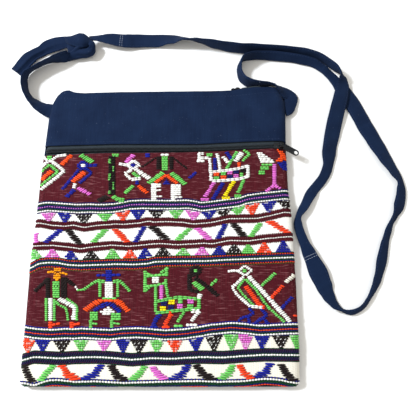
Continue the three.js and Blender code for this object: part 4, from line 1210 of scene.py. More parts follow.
# %% Chart of the upper field
UPPER_FIGURES = [
    Stroke("white", 3.2, [At(41.5, 167.5), At(47, 163), At(52, 160.5)]),
    Stroke("white", 3.4, [At(51, 161), At(57, 165), At(64, 171.3), At(55, 179), At(41, 190)]),
    bar("white", 2.4, 43.5, 157.5, 48, 161),
    Stroke("white", 2.6, [At(52.5, 160), At(57, 156.3), At(66.5, 155)]),
    block("green", 49.8, 158, 4.6, 4),
    Stroke("green", 2.7, [At(42, 172.3), At(50.2, 164.7), At(58, 172), At(41, 186.2)]),
    bar("orange", 4.8, 52, 171, 41.5, 180.4),
    bar("orange", 4.5, 72, 155, 61.5, 165),
    bar("green", 4.4, 80.5, 155, 93, 162.4),
    Stroke("blue", 3.2, ring([At(82.6, 161.3), At(88, 165.6), At(83, 169.8), At(77.6, 165.6)])),
    bar("blue", 2.8, 88.5, 165.7, 97.6, 165.2),
    block("white", 83.3, 165.7, 4.6, 3.2),
    Stroke("blue", 3.2, [At(79, 169.5), At(71, 179.5), At(62, 189.6)]),
    Stroke("blue", 3.2, [At(86.5, 168.5), At(91.4, 173), At(79.5, 183.4)]),
    bar("orange", 4.8, 85, 172, 72.5, 182),
    bar("white", 3.4, 75.6, 183.5, 73.6, 188.5),
    bar("blue", 4.2, 74.5, 189.6, 66.5, 197.2),
    bar("pink", 4.0, 78, 187.8, 90.4, 194.6),
    block("black", 112, 175.5, 6.6, 39),
    block("green", 115.5, 155.4, 6.4, 3.2),
    block("green", 109.8, 161.4, 2.6, 5), block("green", 113.4, 169, 2.6, 5.4),
    block("green", 109.8, 177, 2.8, 7), block("green", 113.5, 186, 2.8, 7.6),
    block("green", 109.6, 192.4, 2.6, 3.4),
    Stroke("green", 4.2, [At(112.6, 196.2), At(119, 200), At(124.4, 200.6)]),
    bar("black", 5.4, 108, 196.4, 98.5, 201.6),
    Stroke("white", 3.4, ring([At(133.6, 160.6), At(139.4, 165), At(133, 169.3), At(127.6, 165)])),
    block("blue", 133.2, 165.4, 4.6, 3.4),
    bar("white", 2.6, 127.5, 165.4, 118.8, 163.8),
    bar("pink", 4.8, 133.8, 154.8, 126, 162.8),
    Stroke("white", 3.2, [At(132, 170), At(125.2, 173.4), At(131.5, 179.6), At(141, 178.4)]),
    bar("green", 3.4, 132.6, 172.4, 138.6, 177.4),
    Stroke("white", 4.0, [At(135.4, 169), At(142.5, 174.2), At(149.7, 178.8)]),
    block("blue", 137.2, 182.6, 3.4, 4),
    bar("green", 3.6, 133.4, 185.6, 124.6, 193.6),
    bar("orange", 4.0, 138, 185.6, 147.4, 193.2),
    block("blue", 147.6, 155.4, 4.4, 4),
    bar("black", 1.8, 156, 157.5, 142, 167),
    block("white", 164.8, 154.9, 8, 2.4),
    block("green", 164.9, 163.5, 5.8, 14),
    block("black", 158.8, 163, 4.6, 13), block("black", 171.4, 163, 4.2, 13),
    bar("black", 1.8, 173, 158, 187.5, 169),
    bar("green", 4.6, 163.6, 172.6, 148.4, 183.4),
    bar("green", 4.8, 171, 172.8, 185.2, 184.4),
    bar("orange", 3.8, 166.4, 175, 155.4, 182.8),
    bar("orange", 3.8, 166.4, 175, 177.2, 183.5),
    Patch("blue", [At(166.4, 179.6), At(170.6, 184.6), At(162.4, 184.6)]),
    block("white", 153.8, 192.4, 5, 18), block("white", 156.6, 185.6, 9, 4),
    bar("white", 1.6, 156, 190.6, 161.4, 190), bar("white", 1.6, 156, 196.6, 162, 196.4),
    block("white", 173.3, 192.8, 4.6, 17), block("white", 177.6, 190, 6.6, 11),
    bar("white", 1.8, 175, 197.4, 182, 197.2),
    bar("blue", 3.0, 196.2, 172, 189.4, 178.4),
    block("white", 199.2, 157, 3.2, 7.4), bar("white", 2.4, 196.8, 161.2, 204.5, 161),
    bar("white", 2.6, 198.5, 153.6, 204, 153.8), bar("white", 2.6, 200, 158, 209, 158),
    block("green", 209.6, 155, 5.6, 3.2),
    Stroke("white", 3.0, [At(217, 153.5), At(218.6, 160), At(220, 170)]),
    Stroke("white", 3.4, [At(209.8, 158), At(210.6, 170), At(211.4, 181)]),
    bar("blue", 3.8, 214.6, 158, 215.2, 170),
    Stroke("white", 2.8, [At(213, 172.2), At(225, 170.8), At(237, 169), At(248.4, 166)]),
    Stroke("white", 2.8, [At(211.8, 181.2), At(226, 180.4), At(239.6, 179), At(248.4, 176.4)]),
    block("white", 248, 171.2, 3.2, 12),
    block("orange", 216.4, 174.2, 5.4, 3.8), block("green", 223.4, 173.6, 4.8, 3.6),
    block("pink", 230, 172.8, 5, 3.6), block("navy", 236.2, 172, 5.2, 3.6),
    block("black", 243, 170.8, 5.2, 4), block("green", 216.4, 178.4, 5.2, 3.6),
    block("orange", 223.5, 177.6, 5.4, 4), block("navy", 230, 177, 5, 3.6),
    block("pink", 236, 176, 5, 3.6), block("green", 241.6, 174.8, 3, 4),
    bar("pink", 3.6, 214.2, 182.4, 205, 197), block("pink", 205, 199.6, 8, 2.8),
    bar("blue", 4.0, 223, 182.8, 213, 199.4),
    bar("yellow", 4.0, 234, 181, 225, 196), block("yellow", 226, 198.2, 8, 3),
    bar("green", 3.4, 244.2, 179.4, 238, 193), block("green", 237.8, 196.2, 6.6, 3.4),
    bar("green", 3.0, 237, 151.5, 226.4, 169),
    bar("white", 3.6, 223, 156.6, 228.4, 162.8),
    bar("blue", 3.6, 226.4, 152, 231.6, 159.4),
    bar("white", 5.0, 242, 152.5, 235.4, 161.6),
    Stroke("green", 2.8, [At(243.6, 150), At(249.4, 153.8), At(242.6, 161.4)]),
    block("orange", 239, 165, 3, 5),
    Patch("white", [At(256.6, 152.4), At(262, 153), At(275, 161.6), At(273, 162.8), At(261, 163)]),
    block("green", 267, 164.8, 11, 2.2), block("green", 264.6, 168.2, 8.4, 3.4),
    block("green", 261.8, 172.6, 6, 4),
    block("pink", 274.4, 174.6, 3.8, 21),
    bar("pink", 3.2, 274.4, 185.4, 266, 191.6), bar("pink", 3.2, 274.4, 185.4, 280.6, 188.8),
    Patch("orange", [At(276.4, 149), At(284.6, 153.4), At(286, 161.4), At(275, 161.6), At(281, 156.4)]),
    Patch("blue", [At(277.2, 162.6), At(286.4, 162), At(286.6, 171), At(282, 169)]),
]

# %% [markdown]
# ## Figures of the lower field
# Below the fourth band stand a rider in a hat, a dancer in a wide skirt, a green horse, a black bird and a
# large white bird with a long tail.

# %% Chart of the lower field
LOWER_FIGURES = [
    block("gold", 57.8, 269.8, 7, 3.4), Stroke("gold", 2.0, [At(47.4, 272.4), At(53, 271.6), At(58, 274.4)]),
    Stroke("gold", 2.0, [At(58, 274.4), At(62, 272.6), At(68, 274.8)]), block("gold", 57.2, 276.8, 7, 4.4),
    Patch("gold", [At(54, 278.4), At(60.4, 278.4), At(57, 281)]),
    block("black", 47.9, 288, 4.8, 20.5), block("black", 63.9, 287.6, 6.2, 20.6),
    block("green", 56.2, 289.6, 6.6, 16.6), bar("black", 1.2, 53, 286.4, 59.6, 286.2),
    bar("black", 4.0, 48.2, 279, 34.4, 291.6), bar("black", 3.6, 66, 279.4, 74.2, 285.4),
    bar("white", 1.8, 75.4, 286, 77.6, 290.4),
    block("white", 50.6, 309.4, 4.2, 22.6),
    block("green", 46.3, 309.6, 2.5, 23), block("green", 54.5, 310, 2.4, 22),
    Stroke("white", 4.0, [At(58.6, 298.6), At(66, 302.4), At(74.4, 306.4), At(73.6, 320)]),
    Stroke("green", 2.3, [At(66, 298.4), At(71, 301.4), At(77, 306.4), At(76.8, 320.6)]),
    Stroke("green", 2.3, [At(55.4, 301), At(60, 305.4), At(66.4, 308.4), At(68, 320.6)]),
    block("red", 50.6, 325, 4.4, 7), bar("red", 2.2, 52, 325, 60.2, 323.4),
    block("red", 71.8, 325, 4, 6.4), bar("red", 2.2, 73, 324.8, 80.2, 323.4),
    block("blue", 108.9, 275.8, 5.8, 11.4), bar("blue", 2.4, 96.4, 275.4, 121, 274.9),
    block("white", 109, 290, 7.8, 16.4),
    Stroke("green", 2.7, [At(105, 281.8), At(97.4, 280.6), At(90, 285), At(83, 290.2)]),
    Stroke("green", 2.7, [At(113, 281.8), At(119.4, 280.6), At(125, 285.4), At(130, 291.6)]),
    block("green", 100, 289.6, 2.7, 15), block("green", 117.8, 289.6, 2.7, 15),
    bar("green", 2.0, 102, 298.4, 116.6, 298.4), bar("green", 1.6, 77, 290.2, 83, 289.8),
    Stroke("orange", 4.8, [At(101, 300.4), At(93.6, 304), At(84.4, 310.6)]),
    Stroke("orange", 4.8, [At(115.6, 300.4), At(121, 303.4), At(128.6, 311.4)]),
    bar("orange", 2.2, 99, 300.6, 118, 300.6),
    Stroke("blue", 3.6, [At(109, 303.2), At(101, 306.4), At(94, 311)]),
    Stroke("blue", 3.6, [At(109, 303.2), At(114.6, 306.6), At(120.2, 312.4)]),
    Patch("white", [At(108.7, 306.6), At(115.6, 312.4), At(107.6, 315), At(98.4, 313)]),
    block("green", 94, 316, 7.8, 8.6), block("green", 90.8, 324, 3.2, 8),
    bar("green", 1.7, 92, 323.4, 97.8, 324),
    block("green", 116, 316.6, 9.4, 7.4), block("green", 111.8, 324, 3.4, 8),
    bar("green", 1.7, 113, 323, 119.8, 324),
    block("green", 145.2, 281.4, 3.2, 21.4), bar("green", 2.2, 146, 290.4, 149.6, 287.4),
    bar("green", 2.0, 146.4, 273.4, 151, 275),
    Stroke("green", 2.4, [At(146.4, 276.4), At(158, 275.2), At(165.8, 274.6)]),
    bar("green", 2.4, 160.4, 273, 168.6, 267.6), block("green", 166.6, 272, 3, 8.4),
    block("white", 155.6, 280, 6.8, 6.4),
    Stroke("green", 2.4, [At(146, 286.6), At(157, 285.2), At(166.4, 282.8)]),
    block("green", 165.8, 281, 2.4, 4),
    block("green", 155.7, 298.6, 3, 27), bar("green", 2.7, 165.8, 283, 168, 298.6),
    block("pink", 161.5, 292.3, 3.8, 14.6),
    Stroke("green", 2.6, [At(157, 301.4), At(168, 299.2), At(178, 297.2), At(188, 298), At(197, 299)]),
    Stroke("green", 2.6, [At(155.5, 313), At(175, 310.8), At(198.8, 308.6)]),
    block("green", 199, 303.6, 3.4, 11),
    block("navy", 164, 303.8, 6, 4.6), block("yellow", 171.7, 302, 6, 5),
    block("green", 180.4, 301, 4.4, 5), block("pink", 190.6, 301.2, 6, 5),
    block("yellow", 163, 308.6, 6, 4.8), block("navy", 171, 307.6, 6, 4.8),
    block("pink", 180, 306.4, 5.4, 5), block("green", 190.4, 306.6, 6, 4.6),
    bar("white", 4.2, 200.4, 293.8, 198.8, 299),
    Stroke("blue", 4.0, [At(160.8, 314), At(154.4, 321.6), At(153.6, 327)]), block("blue", 154, 327, 7.4, 3),
    Stroke("red", 3.8, [At(168.6, 313.4), At(172, 314), At(166, 322.6), At(165.4, 328)]),
    block("red", 166, 327.2, 8, 2.8),
    bar("green", 3.0, 184.4, 311.4, 177.4, 322.4), block("green", 178.4, 326, 8.6, 2.8),
    Stroke("white", 3.4, [At(191, 311), At(199.4, 311), At(191, 321.4)]), block("white", 191.6, 325, 11, 3),
    Stroke("black", 4.4, ring([At(195.6, 265.4), At(200.4, 271), At(195.4, 276), At(190.8, 271)])),
    block("green", 195.6, 270.8, 3.2, 3.2),
    block("black", 189.6, 282, 4.8, 16), bar("green", 5.0, 193.2, 282, 203, 289.8),
    Stroke("black", 4.0, [At(195, 278), At(206, 285.6), At(218, 296)]),
    bar("black", 3.0, 190, 290, 199, 292),
    bar("green", 2.5, 217.4, 279, 210.4, 285.8),
    Stroke("white", 2.1, ring([At(244.4, 265.8), At(252, 270.4), At(245.4, 275.6), At(238.2, 271.2)])),
    block("green", 244.6, 270.8, 3.4, 3.4),
    Stroke("white", 2.2, [At(238.6, 271), At(233, 270.6), At(227.6, 271.6)]),
    Stroke("white", 2.7, [At(244, 276.6), At(232.4, 287.4), At(236, 293), At(242.4, 299.8), At(251, 306.6)]),
    bar("white", 2.6, 251, 306.4, 262.5, 307.4),
    Stroke("white", 4.0, [At(248.5, 276), At(259, 287.5), At(269, 298.4), At(277, 307.4), At(290.6, 322)]),
    Stroke("green", 2.2, [At(245.3, 279), At(237.8, 287.6), At(244, 295.4), At(254, 305.6)]),
    Stroke("green", 2.5, [At(245.6, 279), At(256, 289.6), At(267.6, 306.7), At(284.8, 322.4)]),
    Stroke("red", 4.9, [At(245.8, 286), At(253, 296), At(260.5, 306)]),
    bar("red", 3.4, 262, 307, 265, 307.4),
    Stroke("blue", 2.9, [At(248.5, 308), At(253.6, 313), At(247.8, 316.4), At(250.4, 324.4)]),
    Stroke("blue", 2.4, [At(247.8, 316.2), At(242, 317.6), At(238.4, 321.4)]),
    Stroke("blue", 2.9, [At(261, 309), At(267, 315), At(262, 318.4), At(253, 324.4)]),
    bar("blue", 2.6, 263, 318, 269, 324.2),
    bar("green", 2.8, 275.4, 273, 261.4, 286), bar("red", 3.2, 283, 285.4, 270.8, 298.4),
    bar("cream", 3.4, 296, 273.6, 285.5, 282.6), bar("blue", 3.0, 292, 297, 281, 309),
    bar("red", 1.6, 293, 315.6, 297, 315.8),
]


def figure_floats(figures):
    """Floats of all the strokes and patches of a field."""
    found = []
    for mark in figures:
        found += stroke_floats(mark) if isinstance(mark, Stroke) else patch_floats(mark)
    return found


upper_motifs += figure_floats(UPPER_FIGURES)
lower_motifs += figure_floats(LOWER_FIGURES)
MOTIF_LIFT = 0.12
upper_brocade = lay_floats("upper_brocade_yarn", upper_motifs, MOTIF_LIFT)
lower_brocade = lay_floats("lower_brocade_yarn", lower_motifs, MOTIF_LIFT)
print("floats in the figures", len(upper_motifs), len(lower_motifs))

# %% [markdown]
# ## Yarn finish
# Wool and cotton yarn is matt and slightly hairy. The colour of each float comes from the mesh. Fine slanted
# lines along the float show the twist of its plies, as bumps and as painted shade in the grooves between them,
# and a fuzzy noise breaks up the light.

# %% Yarn material
yarn_material, tree, shader = new_material("brocade_yarn", 0.88, sheen=0.05)
place = cloth_place(tree, True)
colour = mesh_colour(tree, "yarn")
plies = twisted(tree, place, 9.0)
fuzz = noise(tree, place, 2.5, 3.0)
relief = maths(tree, "ADD", maths(tree, "MULTIPLY", plies, 0.5), fuzz)
# Painted shade: the float's colour darkens along the grooves between its plies and with the fuzz, following the
# same relief as the bump.
painted_ply_shade_colour = mixed(tree, spread(tree, relief, 0.0, 1.0, 0.3, 0.0), colour, (0.0, 0.0, 0.0))
tree.links.new(painted_ply_shade_colour, shader.inputs["Base Color"])
add_bump(tree, shader, relief, 0.3, 0.00015)
dress(yarn_material, upper_bands, lower_bands, upper_brocade, lower_brocade)
print("yarn nodes:", len(tree.nodes))

# %% [markdown]
# ## Zip tapes
# A zip has two cloth tapes. On the front they lie under the folded hem of the band and the edge of the
# woven panel, and only the strip between shows. In the mouth they stand inside the hem, and the front tape
# peeps out where the zip is open.

# %% Tapes
TAPE_DEPTH = 2.1
TAPE_THICK = 0.8
TAPE_TUCK = 8.0
COIL_SHIFT = -0.8
MOUTH_DEPTH = 1.8
MOUTH_TAPE = 9.0
MOUTH_SETBACK = 0.6
PEEP_FROM = 80.0
PEEP_TO = 113.0
PEEP_HIGH = 1.7
PEEP_SLOPE = 6
TAPE_GAP = 0.15


def tape_piece(name, low, high, steps, depth, side=1, roll_steps=6):
    """Zip tape between two heights, under the skin."""
    share, turn = columns(PANEL_STEPS, roll_steps)
    nominal = (share - 0.5) * BAG_WIDTH
    y = low(nominal)[:, None] + (high(nominal) - low(nominal))[:, None] * np.linspace(0, 1, steps + 1)
    x = column_x(share[:, None], turn[:, None], y)
    return cloth_panel(name, x, y, TAPE_THICK, side=side, depth=depth)


def coil_middle(x):
    """Middle line of the front zip."""
    return (read(BAND_EDGE, x) + read(WOVEN_EDGE, x)) / 2 + COIL_SHIFT


def mouth_top(x):
    """Top of the mouth tape, standing out of the hem where the zip is open."""
    peep = np.clip((x - PEEP_FROM) / PEEP_SLOPE, 0, 1) * np.clip((PEEP_TO - x) / PEEP_SLOPE, 0, 1)
    return read(MOUTH_EDGE, x) - MOUTH_SETBACK + (PEEP_HIGH + MOUTH_SETBACK) * peep


tape_upper = tape_piece("front_zip_tape_upper_cloth", lambda x: coil_middle(x) + TAPE_GAP,
                        lambda x: read(BAND_EDGE, x) + TAPE_TUCK, 8, TAPE_DEPTH)
tape_lower = tape_piece("front_zip_tape_lower_cloth", lambda x: read(WOVEN_EDGE, x) - TAPE_TUCK,
                        lambda x: coil_middle(x) - TAPE_GAP, 8, TAPE_DEPTH)
mouth_front = tape_piece("top_zip_tape_front_cloth", lambda x: read(MOUTH_EDGE, x) - MOUTH_TAPE, mouth_top, 8,
                         MOUTH_DEPTH, roll_steps=0)
mouth_back = tape_piece("top_zip_tape_back_cloth", lambda x: read(MOUTH_EDGE, x) - MOUTH_TAPE,
                        lambda x: read(MOUTH_EDGE, x) - MOUTH_SETBACK, 8, MOUTH_DEPTH, side=-1, roll_steps=0)
for piece, cad in ((tape_upper, "front_zip_tape_upper"), (tape_lower, "front_zip_tape_lower"),
                   (mouth_front, "top_zip_tape_front"), (mouth_back, "top_zip_tape_back")):
    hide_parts(cad)


def tape_material(name, dark, pale):
    """Ribbed zip tape: close ribs along the zip and a dusty grey bloom."""
    made, tree, shader = new_material(name, 0.85, sheen=0.05)
    place = cloth_place(tree, False)
    height, shade = woven(tree, place, 0.6, 0.9)
    tone = mixed(tree, spread(tree, shade, 0.3, 0.75), linear(dark), linear(pale))
    tree.links.new(tone, shader.inputs["Base Color"])
    add_bump(tree, shader, height, 0.5, 0.0003)
    return made


# One tape cloth in two copies: the darker copy carries painted shade and goes on the lower front tape and the
# back mouth tape; the paler copy carries painted light and goes on the upper front tape and the front mouth
# tape.
tape_painted_shade = tape_material("zip_tape_shaded_cloth", (30, 36, 42), (50, 59, 65))
tape_painted_lit = tape_material("zip_tape_lit_cloth", (40, 47, 53), (57, 65, 71))
dress(tape_painted_lit, tape_upper, mouth_front)
dress(tape_painted_shade, tape_lower, mouth_back)
print("tape faces", len(tape_upper.data.polygons), len(mouth_front.data.polygons))

# %% [markdown]
# ## Zip coils
# A coil zip closes by two rows of nylon loops that hook into each other. Each loop is one small lens laid
# across the zip, the two rows half a step apart, so they mesh along the middle line. A second pair of rows
# in the mouth stops at its slider, because the zip is open beyond it.

# %% Coil teeth
TOOTH_PITCH = 1.15
TOOTH_SIZE = [2.9, 0.95, 1.15]
TOOTH_OUT = 1.15
TOOTH_LEAN = 0.12
TOOTH_DEPTH = 1.35
ZIP_ENDS = (-119.0, 118.0)
MOUTH_COIL = (-96.0, 65.5)
MOUTH_COIL_MID = 5.1
MOUTH_COIL_BACK = 2.4
NYLON = linear((40, 45, 50))


def lens_mesh(name, middle, along, up, size, colour, slot):
    """Many lenses of thread or nylon of one size and colour, with their middles and directions in rows."""
    along = unit(along)
    across = unit(np.cross(up, along))
    up = np.cross(along, across)
    rows = np.tile(size, (len(middle), 1))
    u, v, w = float_along * rows[:, :1], float_across * rows[:, 1:2], float_up * rows[:, 2:]
    points = (middle[:, None] + along[:, None] * u[..., None] + across[:, None] * v[..., None]
              + up[:, None] * w[..., None])
    return lens_piece(name, points, u, v, np.tile(colour, (u.size, 1)))


def front_teeth(x, hand):
    """Middle, direction and up of the teeth on one side of the front zip."""
    up = skin(x, coil_middle(x), 1.0) - skin(x, coil_middle(x))
    return skin(x, coil_middle(x) + hand * TOOTH_OUT, -TOOTH_DEPTH), [TOOTH_LEAN * hand, 1.0, 0.0], up


def mouth_teeth(x, hand):
    """The same for the mouth zip, which stands upright."""
    high = np.full(len(x), MOUTH_COIL_MID + hand * TOOTH_OUT)
    middle = np.stack([x, read(MOUTH_EDGE, x) - MOUTH_COIL_BACK, high], 1)
    return middle, [TOOTH_LEAN * hand, 0.0, 1.0], np.tile([0.0, 1.0, 0.0], (len(x), 1))


def coil_piece(name, ends, side_teeth):
    """Two rows of teeth between two ends, half a step apart."""
    rows = []
    for hand in (1, -1):
        x = np.arange(*ends, TOOTH_PITCH) + (0.5 * TOOTH_PITCH if hand < 0 else 0)
        middle, along, up = side_teeth(x, hand)
        rows.append((middle, np.tile(along, (len(x), 1)), up))
    parts = [np.vstack(part) for part in zip(*rows)]
    print(name, len(parts[0]), "teeth")
    return lens_mesh(name, *parts, TOOTH_SIZE, NYLON, "zip_coil")


front_coil = coil_piece("front_zip_coil_teeth", ZIP_ENDS, front_teeth)
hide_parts("front_zip_coil")
mouth_coil = coil_piece("top_zip_coil_teeth", MOUTH_COIL, mouth_teeth)
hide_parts("top_zip_coil")

nylon_material, tree, shader = new_material("zip_nylon", 0.42)
place = cloth_place(tree, True)
colour = mesh_colour(tree, "yarn")
scuffed = spread(tree, noise(tree, place, 1.2, 3.0), 0.45, 0.75, 0.0, 0.5)
tree.links.new(mixed(tree, scuffed, colour, linear((70, 74, 78))), shader.inputs["Base Color"])
tree.links.new(spread(tree, noise(tree, place, 2.0), 0.3, 0.7, 0.35, 0.6), shader.inputs["Roughness"])
add_bump(tree, shader, noise(tree, place, 3.0, 2.0), 0.15, 0.0001)
dress(nylon_material, front_coil, mouth_coil)

# %% [markdown]
# ## Sliders and pull
# The front slider is a small black-painted casting: a plate over the coil with two lugs and a pin. The pull
# hangs on the pin by an eye, and has a round hole at its tip. They are cut from boxes and rods, joined with
# booleans and given small bevels, as a mould maker would round them. They are modelled at the pin, level,
# and then placed.

# %% Tools for the hard pieces
PIN_AT = np.array([113.4, 79.2, 13.75])
PULL_HEADING = math.radians(-26.8)
PULL_DROOP = math.radians(8)


def solid_box(low, high):
    """Box between two corners, in millimetres."""
    low, high = np.array(low), np.array(high)
    bpy.ops.object.select_all(action="DESELECT")
    bpy.ops.mesh.primitive_cube_add(size=1, location=(low + high) / 2 * MM, scale=(high - low) * MM)
    bpy.ops.object.transform_apply(location=True, rotation=True, scale=True)
    return bpy.context.object


def solid_rod(middle, radius, long, turn=(0, 0, 0), sides=40):
    """Rod round a middle, upright unless it is turned."""
    bpy.ops.object.select_all(action="DESELECT")
    bpy.ops.mesh.primitive_cylinder_add(vertices=sides, radius=radius * MM, depth=long * MM,
                                        location=np.array(middle) * MM, rotation=turn)
    bpy.ops.object.transform_apply(location=True, rotation=True, scale=True)
    return bpy.context.object


def cut(piece, tool, how):
    """Joins a tool to a piece or cuts it out, and removes the tool."""
    change = piece.modifiers.new("shape", "BOOLEAN")
    change.operation = how
    change.solver = "EXACT"
    change.object = tool
    bpy.context.view_layer.objects.active = piece
    bpy.ops.object.modifier_apply(modifier=change.name)
    bpy.data.objects.remove(tool)
    return piece


def rounded(piece, width):
    """Small bevels on all sharp edges."""
    change = piece.modifiers.new("edges", "BEVEL")
    change.width = width * MM
    change.segments = 2
    change.limit_method = "ANGLE"
    change.angle_limit = math.radians(40)
    bpy.context.view_layer.objects.active = piece
    bpy.ops.object.modifier_apply(modifier=change.name)
    bpy.ops.object.select_all(action="DESELECT")
    piece.select_set(True)
    bpy.ops.object.shade_smooth_by_angle(angle=math.radians(35))
    return piece


def placed(piece, name, at, heading, droop, body):
    """Turns a piece from its level frame into its place and leaves its object at the origin."""
    piece.name = name
    piece.data.name = name
    spot = Matrix.Translation(at * MM) @ Matrix.Rotation(heading, 4, "Z") @ Matrix.Rotation(droop, 4, "Y")
    piece.data.transform(spot)
    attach(piece, body)
    return piece

# %% [markdown]
# ## Making the sliders and the pull
# The tab is a box with a round end. A thin rim round the hole and a shallow panel down its middle catch the
# light. The mouth slider is seen from above only as a dark bump, so it is a rounded body with a groove and
# two humps.

# %% Slider, pull and mouth slider
PIN = (0, 0, 0)
PIN_WAY = (math.pi / 2, 0, 0)
PIN_RADIUS = 0.5
PIN_HOLE = 0.8
EYE_RADIUS = 1.5
PULL_HALF = 2.9
PULL_UP = 0.6
PULL_TIP = 17.0
NECK_HALF = 1.2
HOLE_AT = (16.9, 0, 0)
HOLE_RADIUS = 2.0
RIM_RADIUS = 2.45
RIM_HIGH = 1.5
THROUGH = 5.0
LUG_OUT = 2.0
LUG_HALF = 0.5
pull = solid_box((4.0, -PULL_HALF, -PULL_UP), (PULL_TIP, PULL_HALF, PULL_UP))
cut(pull, solid_rod((PULL_TIP, 0, 0), PULL_HALF, 2 * PULL_UP), "UNION")
cut(pull, solid_box((1.0, -NECK_HALF, -PULL_UP), (5.0, NECK_HALF, PULL_UP)), "UNION")
cut(pull, solid_rod(PIN, EYE_RADIUS, 2 * NECK_HALF, PIN_WAY), "UNION")
cut(pull, solid_rod(HOLE_AT, RIM_RADIUS, RIM_HIGH), "UNION")
cut(pull, solid_rod(PIN, PIN_HOLE, THROUGH, PIN_WAY), "DIFFERENCE")
cut(pull, solid_rod(HOLE_AT, HOLE_RADIUS, THROUGH), "DIFFERENCE")
cut(pull, solid_box((6.0, -1.5, 0.4), (12.6, 1.5, 1.0)), "DIFFERENCE")
placed(rounded(pull, 0.18), "front_zip_pull_tab", PIN_AT, PULL_HEADING, PULL_DROOP, "zip_pull")
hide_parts("front_zip_pull")

slider = solid_box((-6.6, -3.2, -3.0), (3.6, 3.2, -1.8))
for hand in (-1, 1):
    lug = solid_box((-1.3, hand * LUG_OUT - LUG_HALF, -2.4), (1.3, hand * LUG_OUT + LUG_HALF, 0.9))
    cut(slider, lug, "UNION")
cut(slider, solid_rod(PIN, PIN_RADIUS, 3.9, PIN_WAY, 20), "UNION")
placed(rounded(slider, 0.3), "front_zip_slider_body", PIN_AT, 0.0, 0.0, "bag")
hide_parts("front_zip_slider")

MOUTH_SLIDER = np.array([71.0, 0.0, 5.1])
MOUTH_SLIDER[1] = read(MOUTH_EDGE, MOUTH_SLIDER[0]) + 0.8
mouth_slider = solid_box((-5.0, -2.4, -2.2), (5.0, 2.4, 2.2))
cut(mouth_slider, solid_box((-6.0, -3.0, -0.4), (-1.0, 3.0, 0.4)), "DIFFERENCE")
humps = solid_box((-4.6, 0.0, 0.8), (4.6, 1.7, 3.4))
cut(humps, solid_rod((-2.9, 0.3, 2.2), 2.0, 2.8), "UNION")
cut(humps, solid_rod((1.6, 0.0, 2.2), 3.2, 3.0), "UNION")
cut(humps, solid_box((-6.0, -4.0, 0.0), (6.0, 0.9, 6.0)), "DIFFERENCE")
cut(mouth_slider, humps, "UNION")
placed(rounded(mouth_slider, 0.4), "top_zip_slider_body", MOUTH_SLIDER, 0.0, 0.0, "bag")
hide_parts("top_zip_slider")

paint, tree, shader = new_material("black_paint", 0.4)
shader.inputs["Coat Weight"].default_value = 0.15
place = cloth_place(tree, False)
chips = spread(tree, noise(tree, place, 0.9, 4.0), 0.62, 0.72)
tree.links.new(mixed(tree, chips, linear((26, 28, 31)), linear((74, 76, 80))), shader.inputs["Base Color"])
tree.links.new(spread(tree, noise(tree, place, 1.7, 3.0), 0.3, 0.7, 0.3, 0.55), shader.inputs["Roughness"])
add_bump(tree, shader, noise(tree, place, 4.0, 2.0), 0.12, 0.0001)
dress(paint, pull, slider, mouth_slider)
print("pull faces", len(pull.data.polygons), "slider faces", len(slider.data.polygons))

# %% [markdown]
# ## The knot
# The two ends of the strap are tied in a soft overhand knot. From above it shows a broad wrap over the top,
# a lobe that turns round its right side and a strand that crosses between them. Each is a plump band that
# follows its own path round the middle of the knot, with its face turned outward, and a full core fills the
# hollow inside.

# %% Knot wraps
Turn = namedtuple("Turn", "x y z width lean")
TOP_WRAP = [
    Turn(-110, 204.8, 8.5, 7, 0), Turn(-103.4, 202.2, 12, 13, -8), Turn(-96.3, 200, 14, 15.5, -10),
    Turn(-89.8, 199.4, 14.2, 16, -10), Turn(-84.9, 199.6, 12.2, 13, -6), Turn(-81.6, 200.4, 9.2, 9, 0),
]
RIGHT_LOBE = [
    Turn(-84.4, 200, 11, 8, 40), Turn(-80.1, 197.6, 10.1, 9, 55), Turn(-79, 192.2, 9.4, 9.5, 60),
    Turn(-81.4, 187.7, 9, 9.5, 60), Turn(-86.3, 185.7, 8.4, 9.5, 58), Turn(-93.8, 185.4, 7.6, 9.5, 56),
    Turn(-101.5, 184.5, 6.2, 10, 52), Turn(-108.1, 183.3, 5.2, 10, 46),
]
MIDDLE_STRAND = [
    Turn(-89.6, 197, 7.6, 6, 0), Turn(-92, 195, 9.2, 7.5, 0), Turn(-96.4, 191.4, 10.4, 8, 0),
    Turn(-101.6, 188.2, 8.4, 8, 0), Turn(-107.3, 185.7, 5.4, 7, 0),
]
CORE_SIZE = np.array([15.0, 12.5, 4.4])
CORE_AT = np.array([-94.5, 195.0, 4.8])
WRAP_BOW = 2.6
KNOT_STEP = 1.4


def knot_track(turns, step=KNOT_STEP):
    """Track round the middle of the knot, with its face leaning outward by the given angles."""
    rows = np.array(turns, float)
    line, place = curve_through(rows[:, :3])
    run = run_along(line)
    even = np.linspace(0, run[-1], int(round(run[-1] / step)) + 1)
    middle = np.stack([np.interp(even, run, line[:, c]) for c in range(3)], 1)
    width, lean = (np.interp(np.interp(even, run, place), np.arange(len(rows)), rows[:, c]) for c in (3, 4))
    along = unit(np.gradient(middle, even, axis=0))
    left = unit(np.cross([0, 0, 1], along))
    lean = np.radians(lean)[:, None]
    out = np.array([0, 0, 1]) * np.cos(lean) + left * np.sin(lean)
    out = unit(out - along * np.sum(out * along, axis=1, keepdims=True))
    return Track(middle, along, np.cross(out, along), out, width / 2, even)


def plump(run, place):
    """A tied band bows over its middle and is creased by the pull of the knot."""
    return -WRAP_BOW * place ** 2 + 0.45 * np.sin(run / 2.6 + 2 * place) + 0.35 * np.sin(5 * place + run / 7)


